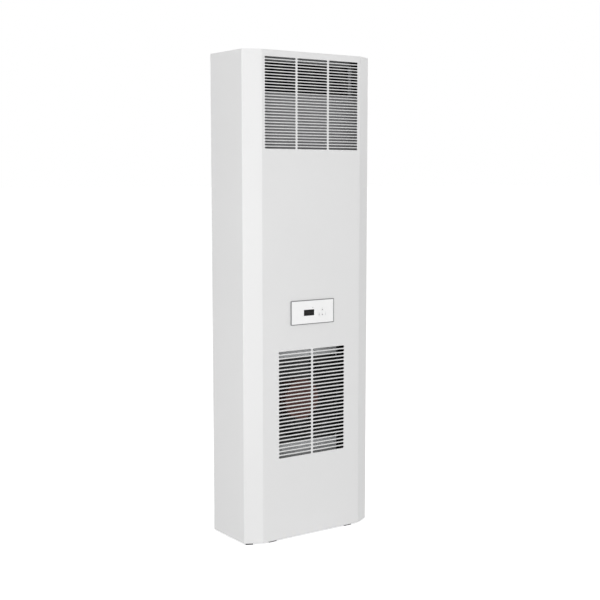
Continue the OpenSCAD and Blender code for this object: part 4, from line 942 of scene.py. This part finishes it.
@dataclass
class DisplayMarks(Fitting):
    """Marks on the operating panel: arrows on the keys, ticks above them, a lamp and unlit digits.

    Attributes:
        arrow: Height of an arrow.
        proud: How far the ink stands on its surface.
        digit_h: Height of a digit.
        digit_w: Width of a digit.
        stroke: Width of a digit's segment.
        digits: Number of digits.
        digit_step: Distance from digit to digit.
        slant: Slant of a digit, as a share of its height.
        joint: Gap at a segment's end, as a share of the stroke.
        outline: Points of an arrow, forward and aside, as shares of its height.
        lamp_in: How far the lamp stands in from the window's right end.
        lamp_above: How far it stands above the window.
        lamp_r: Radius of the lamp.
        lamp_points: Points round the lamp.
        lamp_depth: How far the lamp reaches in front of the panel, in heights of the ink.
        tick_above: Gap between a key and its tick.
        tick_w: Width of a tick.
        tick_h: Height of a tick.
    """

    arrow: float = 0.0044
    proud: float = 0.00003
    digit_h: float = 0.0112
    digit_w: float = 0.0062
    stroke: float = 0.00085
    digits: int = 3
    digit_step: float = 0.0102
    slant: float = 0.11
    joint: float = 0.65
    outline: tuple[tuple[float, float], ...] = ((0.55, 0.0), (-0.45, 0.62), (-0.2, 0.0), (-0.45, -0.62))
    lamp_in: float = 0.0055
    lamp_above: float = 0.0062
    lamp_r: float = 0.0011
    lamp_points: int = 20
    lamp_depth: float = 4
    tick_above: float = 0.0014
    tick_w: float = 0.0032
    tick_h: float = 0.0005

    def arrow_on(self, key: str, turn: float, ink: Finish) -> None:
        """Prints one arrow on a key.

        Args:
            key: The key's node.
            turn: Direction of the arrow in degrees, 90 is up.
            ink: Finish of the print.
        """
        middle, face = middle_of(key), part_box(key)[0].y
        along, rise = math.cos(math.radians(turn)), math.sin(math.radians(turn))
        points = [(middle.x + self.arrow * (far * along - side * rise),
                   middle.z + self.arrow * (far * rise + side * along)) for far, side in self.outline]
        mesh = bmesh.new()
        self.bench.slab(mesh, points, face - self.proud, face + self.proud)
        self.bench.piece(key + "_arrow", mesh, key + "_body", ink)

    def segment(self, mesh: bmesh.types.BMesh, start: tuple[float, float], end: tuple[float, float],
                face: float) -> None:
        """Adds one pointed segment of a digit.

        Args:
            mesh: The digits' mesh.
            start: x and z of one end.
            end: x and z of the other end.
            face: Y of the window's face.
        """
        along = (Vector(end) - Vector(start)).normalized()
        side = Vector((-along.y, along.x)) * self.stroke / 2
        gap = along * self.stroke * self.joint
        one, two = Vector(start) + gap, Vector(end) - gap
        tip = along * self.stroke / 2
        ring = [one - tip, one + side, two + side, two + tip, two - side, one - side]
        self.bench.slab(mesh, [(p.x, p.y) for p in ring], face - self.proud, face + self.proud)

    def unlit_digits(self) -> None:
        """Builds the three digits behind the window's film."""
        middle, face = middle_of("display_window"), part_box("display_window")[0].y
        half_h, half_w = self.digit_h / 2, self.digit_w / 2
        mesh = bmesh.new()
        for place in range(self.digits):
            x = middle.x + (place - (self.digits - 1) / 2) * self.digit_step

            def at(side: float, rise: float) -> tuple[float, float]:
                """Returns a corner of the slanted digit."""
                return x + side * half_w + rise * half_h * self.slant, middle.z + rise * half_h

            for start, end in (((-1, 1), (1, 1)), ((-1, 0), (1, 0)), ((-1, -1), (1, -1)), ((-1, 0), (-1, 1)),
                               ((1, 0), (1, 1)), ((-1, -1), (-1, 0)), ((1, -1), (1, 0))):
                self.segment(mesh, at(*start), at(*end), face)
        self.bench.piece("unlit_digits", mesh, "chassis", DIGIT_UNLIT)

    def small_marks(self) -> None:
        """Builds the lamp dot and the fine tick marks round the keys."""
        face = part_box("display_overlay")[0].y
        window_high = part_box("display_window")[1]
        lamp_x, lamp_z = window_high.x - self.lamp_in, window_high.z + self.lamp_above
        dot = bmesh.new()
        ring = [(lamp_x + x, lamp_z + z) for x, z in self.bench.circle(self.lamp_points, self.lamp_r)]
        self.bench.slab(dot, ring, face - self.lamp_depth * self.proud, face + self.proud)
        self.bench.piece("lamp_dot", dot, "chassis", LAMP_UNLIT)
        ticks = bmesh.new()
        for key in ("key_up", "key_down", "key_left", "key_right"):
            low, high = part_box(key)
            left, z = (low.x + high.x - self.tick_w) / 2, high.z + self.tick_above
            right, top = left + self.tick_w, z + self.tick_h
            self.bench.slab(ticks, [(left, z), (right, z), (right, top), (left, top)], face - self.proud,
                            face + self.proud)
        self.bench.piece("tick_marks", ticks, "chassis", PRINT_PALE)

    def build(self) -> None:
        """Builds all marks."""
        for key, turn, ink in (("key_up", 90, PRINT_DARK), ("key_down", -90, PRINT_DARK),
                               ("key_left", 180, PRINT_PALE), ("key_right", 0, PRINT_PALE)):
            self.arrow_on(key, turn, ink)
        self.unlit_digits()
        self.small_marks()


@dataclass
class NutThreads(Fitting):
    """The cut threads inside the rivet nuts of the mounting plane and the lifting points.

    Attributes:
        pitch: Rise of one turn.
        depth: Depth of the thread.
        points: Points of one turn.
        core: Radius of the bore that the thread is cut in.
        bite: How far the thread's root reaches into the nut.
        flank: Half of the root's width, as a share of the pitch.
        length: Length of a thread.
        mouth_in: How far its mouth stands in from the nut's face.
        flange: Radius of a nut's flange.
    """

    pitch: float = 0.00125
    depth: float = 0.00055
    points: int = 18
    core: float = 0.0034
    bite: float = 0.0001
    flank: float = 0.3
    length: float = 0.012
    mouth_in: float = 0.0008
    flange: float = 0.007

    def thread(self, mesh: bmesh.types.BMesh, mouth: Vector, way: Vector) -> None:
        """Adds one thread to a mesh.

        Args:
            mesh: The mesh.
            mouth: Middle of the bore's mouth.
            way: Direction into the nut.
        """
        side = way.orthogonal().normalized()
        up = way.cross(side)
        root, half = self.core + self.bite, way * self.pitch * self.flank
        rings = []
        for step in range(int(self.length / self.pitch * self.points) + 1):
            turn = math.tau * step / self.points
            out = side * math.cos(turn) + up * math.sin(turn)
            base = mouth + way * (self.pitch * step / self.points + self.mouth_in)
            rings.append([base + out * root - half, base + out * (self.core - self.depth), base + out * root + half])
        self.bench.sweep(mesh, rings)

    def build(self) -> None:
        """Builds the threads of all eight nuts."""
        mesh = bmesh.new()
        low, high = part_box("fixing_nuts")
        for x in (low.x + self.flange, high.x - self.flange):
            for z in (low.z + self.flange, (low.z + high.z) / 2, high.z - self.flange):
                self.thread(mesh, Vector((x, high.y, z)), Vector((0, -1, 0)))
        self.bench.piece("fixing_threads", mesh, "chassis", PLATED_STEEL, smooth=True)
        mesh = bmesh.new()
        low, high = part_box("lifting_nuts")
        for x in (low.x + self.flange, high.x - self.flange):
            self.thread(mesh, Vector((x, (low.y + high.y) / 2, high.z)), Vector((0, 0, -1)))
        self.bench.piece("lifting_threads", mesh, "chassis", PLATED_STEEL, smooth=True)


@dataclass
class RotorFace(Fitting):
    """The stamped face of a fan's outer rotor: raised rings and blade rivets.

    Attributes:
        name: Name of the piece.
        body: Body that it rides on.
        rotor: The rotor's node.
        motor: The motor's node, whose box has the fan's axis in its middle.
        finish: Finish of the face.
        hub: Radius of the rotor.
        way: 1 where the face looks to the back, -1 where it looks to the front.
        rings: Radii of the raised rings.
        rivet_at: Radius of the circle of rivets.
        ring_w: Width of a ring.
        ring_h: Height of a ring.
        rivets: Number of rivets.
        rivet_r: Radius of a rivet's head.
        ring_steps: Steps round a ring.
        rivet_steps: Steps round a rivet.
        reach: How far beyond the hub its face is searched for.
        ring_profile: Section of a ring, aside and outward, as shares of its width and height.
        rivet_profile: Section of a rivet, its radius as a share and its height in metres.
    """

    name: str
    body: str
    rotor: str
    motor: str
    finish: Finish
    hub: float
    way: int
    rings: tuple[float, ...]
    rivet_at: float
    ring_w: float = 0.004
    ring_h: float = 0.0012
    rivets: int = 8
    rivet_r: float = 0.0026
    ring_steps: int = 72
    rivet_steps: int = 14
    reach: float = 0.0005
    ring_profile: tuple[tuple[float, float], ...] = (
        (-0.5, 0.0), (-0.28, 0.8), (0.0, 1.0), (0.28, 0.8), (0.5, 0.0), (0.0, -0.3))
    rivet_profile: tuple[tuple[float, float], ...] = ((1.0, -0.0003), (1.0, 0.0003), (0.8, 0.0009), (0.35, 0.0013))

    def build(self) -> None:
        """Builds the rings and the rivets on the rotor's face."""
        middle = middle_of(self.motor)
        middle.y = 0
        face = max(v.co.y * self.way for v in frame["nodes"][self.rotor].data.vertices
                   if (Vector((v.co.x, 0, v.co.z)) - middle).length < self.hub + self.reach) * self.way
        middle.y = face
        mesh = bmesh.new()
        for radius in self.rings:
            loops = [[mesh.verts.new(middle + Vector((x, 0, z)) * (radius + side * self.ring_w)
                                     + Vector((0, self.way * rise * self.ring_h, 0)))
                      for side, rise in self.ring_profile] for x, z in self.bench.circle(self.ring_steps)]
            self.bench.skin(mesh, loops + loops[:1])
        for rivet in range(self.rivets):
            turn = math.tau * (rivet + 0.5) / self.rivets
            spot = middle + Vector((math.cos(turn), 0, math.sin(turn))) * self.rivet_at
            self.bench.sweep(mesh, [[spot + Vector((x * share, rise * self.way, z * share))
                                     for x, z in self.bench.circle(self.rivet_steps, self.rivet_r)]
                                    for share, rise in self.rivet_profile])
        self.bench.piece(self.name, mesh, self.body, self.finish, smooth=True)


@dataclass
class Cabinet:
    """The CAD nodes that stay, each with its own finish.

    Attributes:
        rotor_radius: Radius of the condenser fan's lacquered rotor.
        slant: Width and depth of the hood's slanted corners.
        skin: Depth below the outer skin where the painted shade of the inner side starts.
    """

    rotor_radius: float = 0.066
    slant: tuple[float, float] = SLANT
    skin: float = 0.0013

    def painted_shade_limits(self) -> dict[str, float]:
        """Finds the planes inside which the hood's inner side is painted near-black, as painted shade.

        Returns:
            Their values for the group that marks the hood's inner side.
        """
        low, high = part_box("front_cover")
        wide, deep = self.slant
        lean_x, lean_y = Vector((deep, wide)).normalized()
        return {"Half Width": high.x - self.skin, "Front": low.y + self.skin, "Top": high.z - self.skin,
                "Corner": lean_x * high.x - lean_y * (low.y + deep) - self.skin,
                "Lean X": lean_x, "Lean Y": lean_y}

    def dress(self, shop: Paintshop) -> None:
        """Gives every CAD node its finish.

        Args:
            shop: The paintshop.
        """
        for name, obj in frame["nodes"].items():
            shop.cover(obj, shop.material(NODE_FINISH[name]))
            log.info("dressed %s as %s", name, NODE_FINISH[name].name)
        hub = {"Centre Height": middle_of("condenser_fan_motor").z, "Radius": self.rotor_radius}
        groups, nodes = shop.groups, frame["nodes"]
        shop.cover(nodes["condenser_fan_impeller"], shop.masked(ROTOR_BROWN, "rotor", groups.disc(), hub, FAN_BLACK))
        # The hood's inner side takes the coils' near-black colour: painted shade for the dark inside seen through the
        # slots.
        shop.cover(nodes["front_cover"],
                   shop.masked(HOOD_PAINT, "inner_painted_shade", groups.inner_skin(), self.painted_shade_limits(), COIL_AND_SHADE_BLACK))


def main() -> None:
    """Builds the cooler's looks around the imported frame."""
    logging.basicConfig(level=logging.INFO, format="%(message)s")
    Studio().build()
    shop = Paintshop()
    Cabinet().dress(shop)
    bench = Bench(shop)
    for fitting in (
            FinPack(bench, "condenser_fins", "condenser_fin_pack", COIL_AND_SHADE_BLACK),
            FinPack(bench, "evaporator_fins", "evaporator_fin_pack", FIN_ALUMINIUM),
            FoamSeal(bench), SupportFeet(bench), DisplayMarks(bench), NutThreads(bench),
            RotorFace(bench, "rotor_face", "condenser_fan_rotor", "condenser_fan_impeller", "condenser_fan_motor",
                      ROTOR_BROWN, hub=0.065, way=-1, rings=(0.018, 0.046), rivet_at=0.056),
            RotorFace(bench, "wheel_face", "evaporator_fan_rotor", "evaporator_fan_impeller", "evaporator_fan_motor",
                      MOTOR_DARK, hub=0.048, way=1, rings=(0.014, 0.032), rivet_at=0.040)):
        fitting.build()


if __name__ == "__main__":
    main()
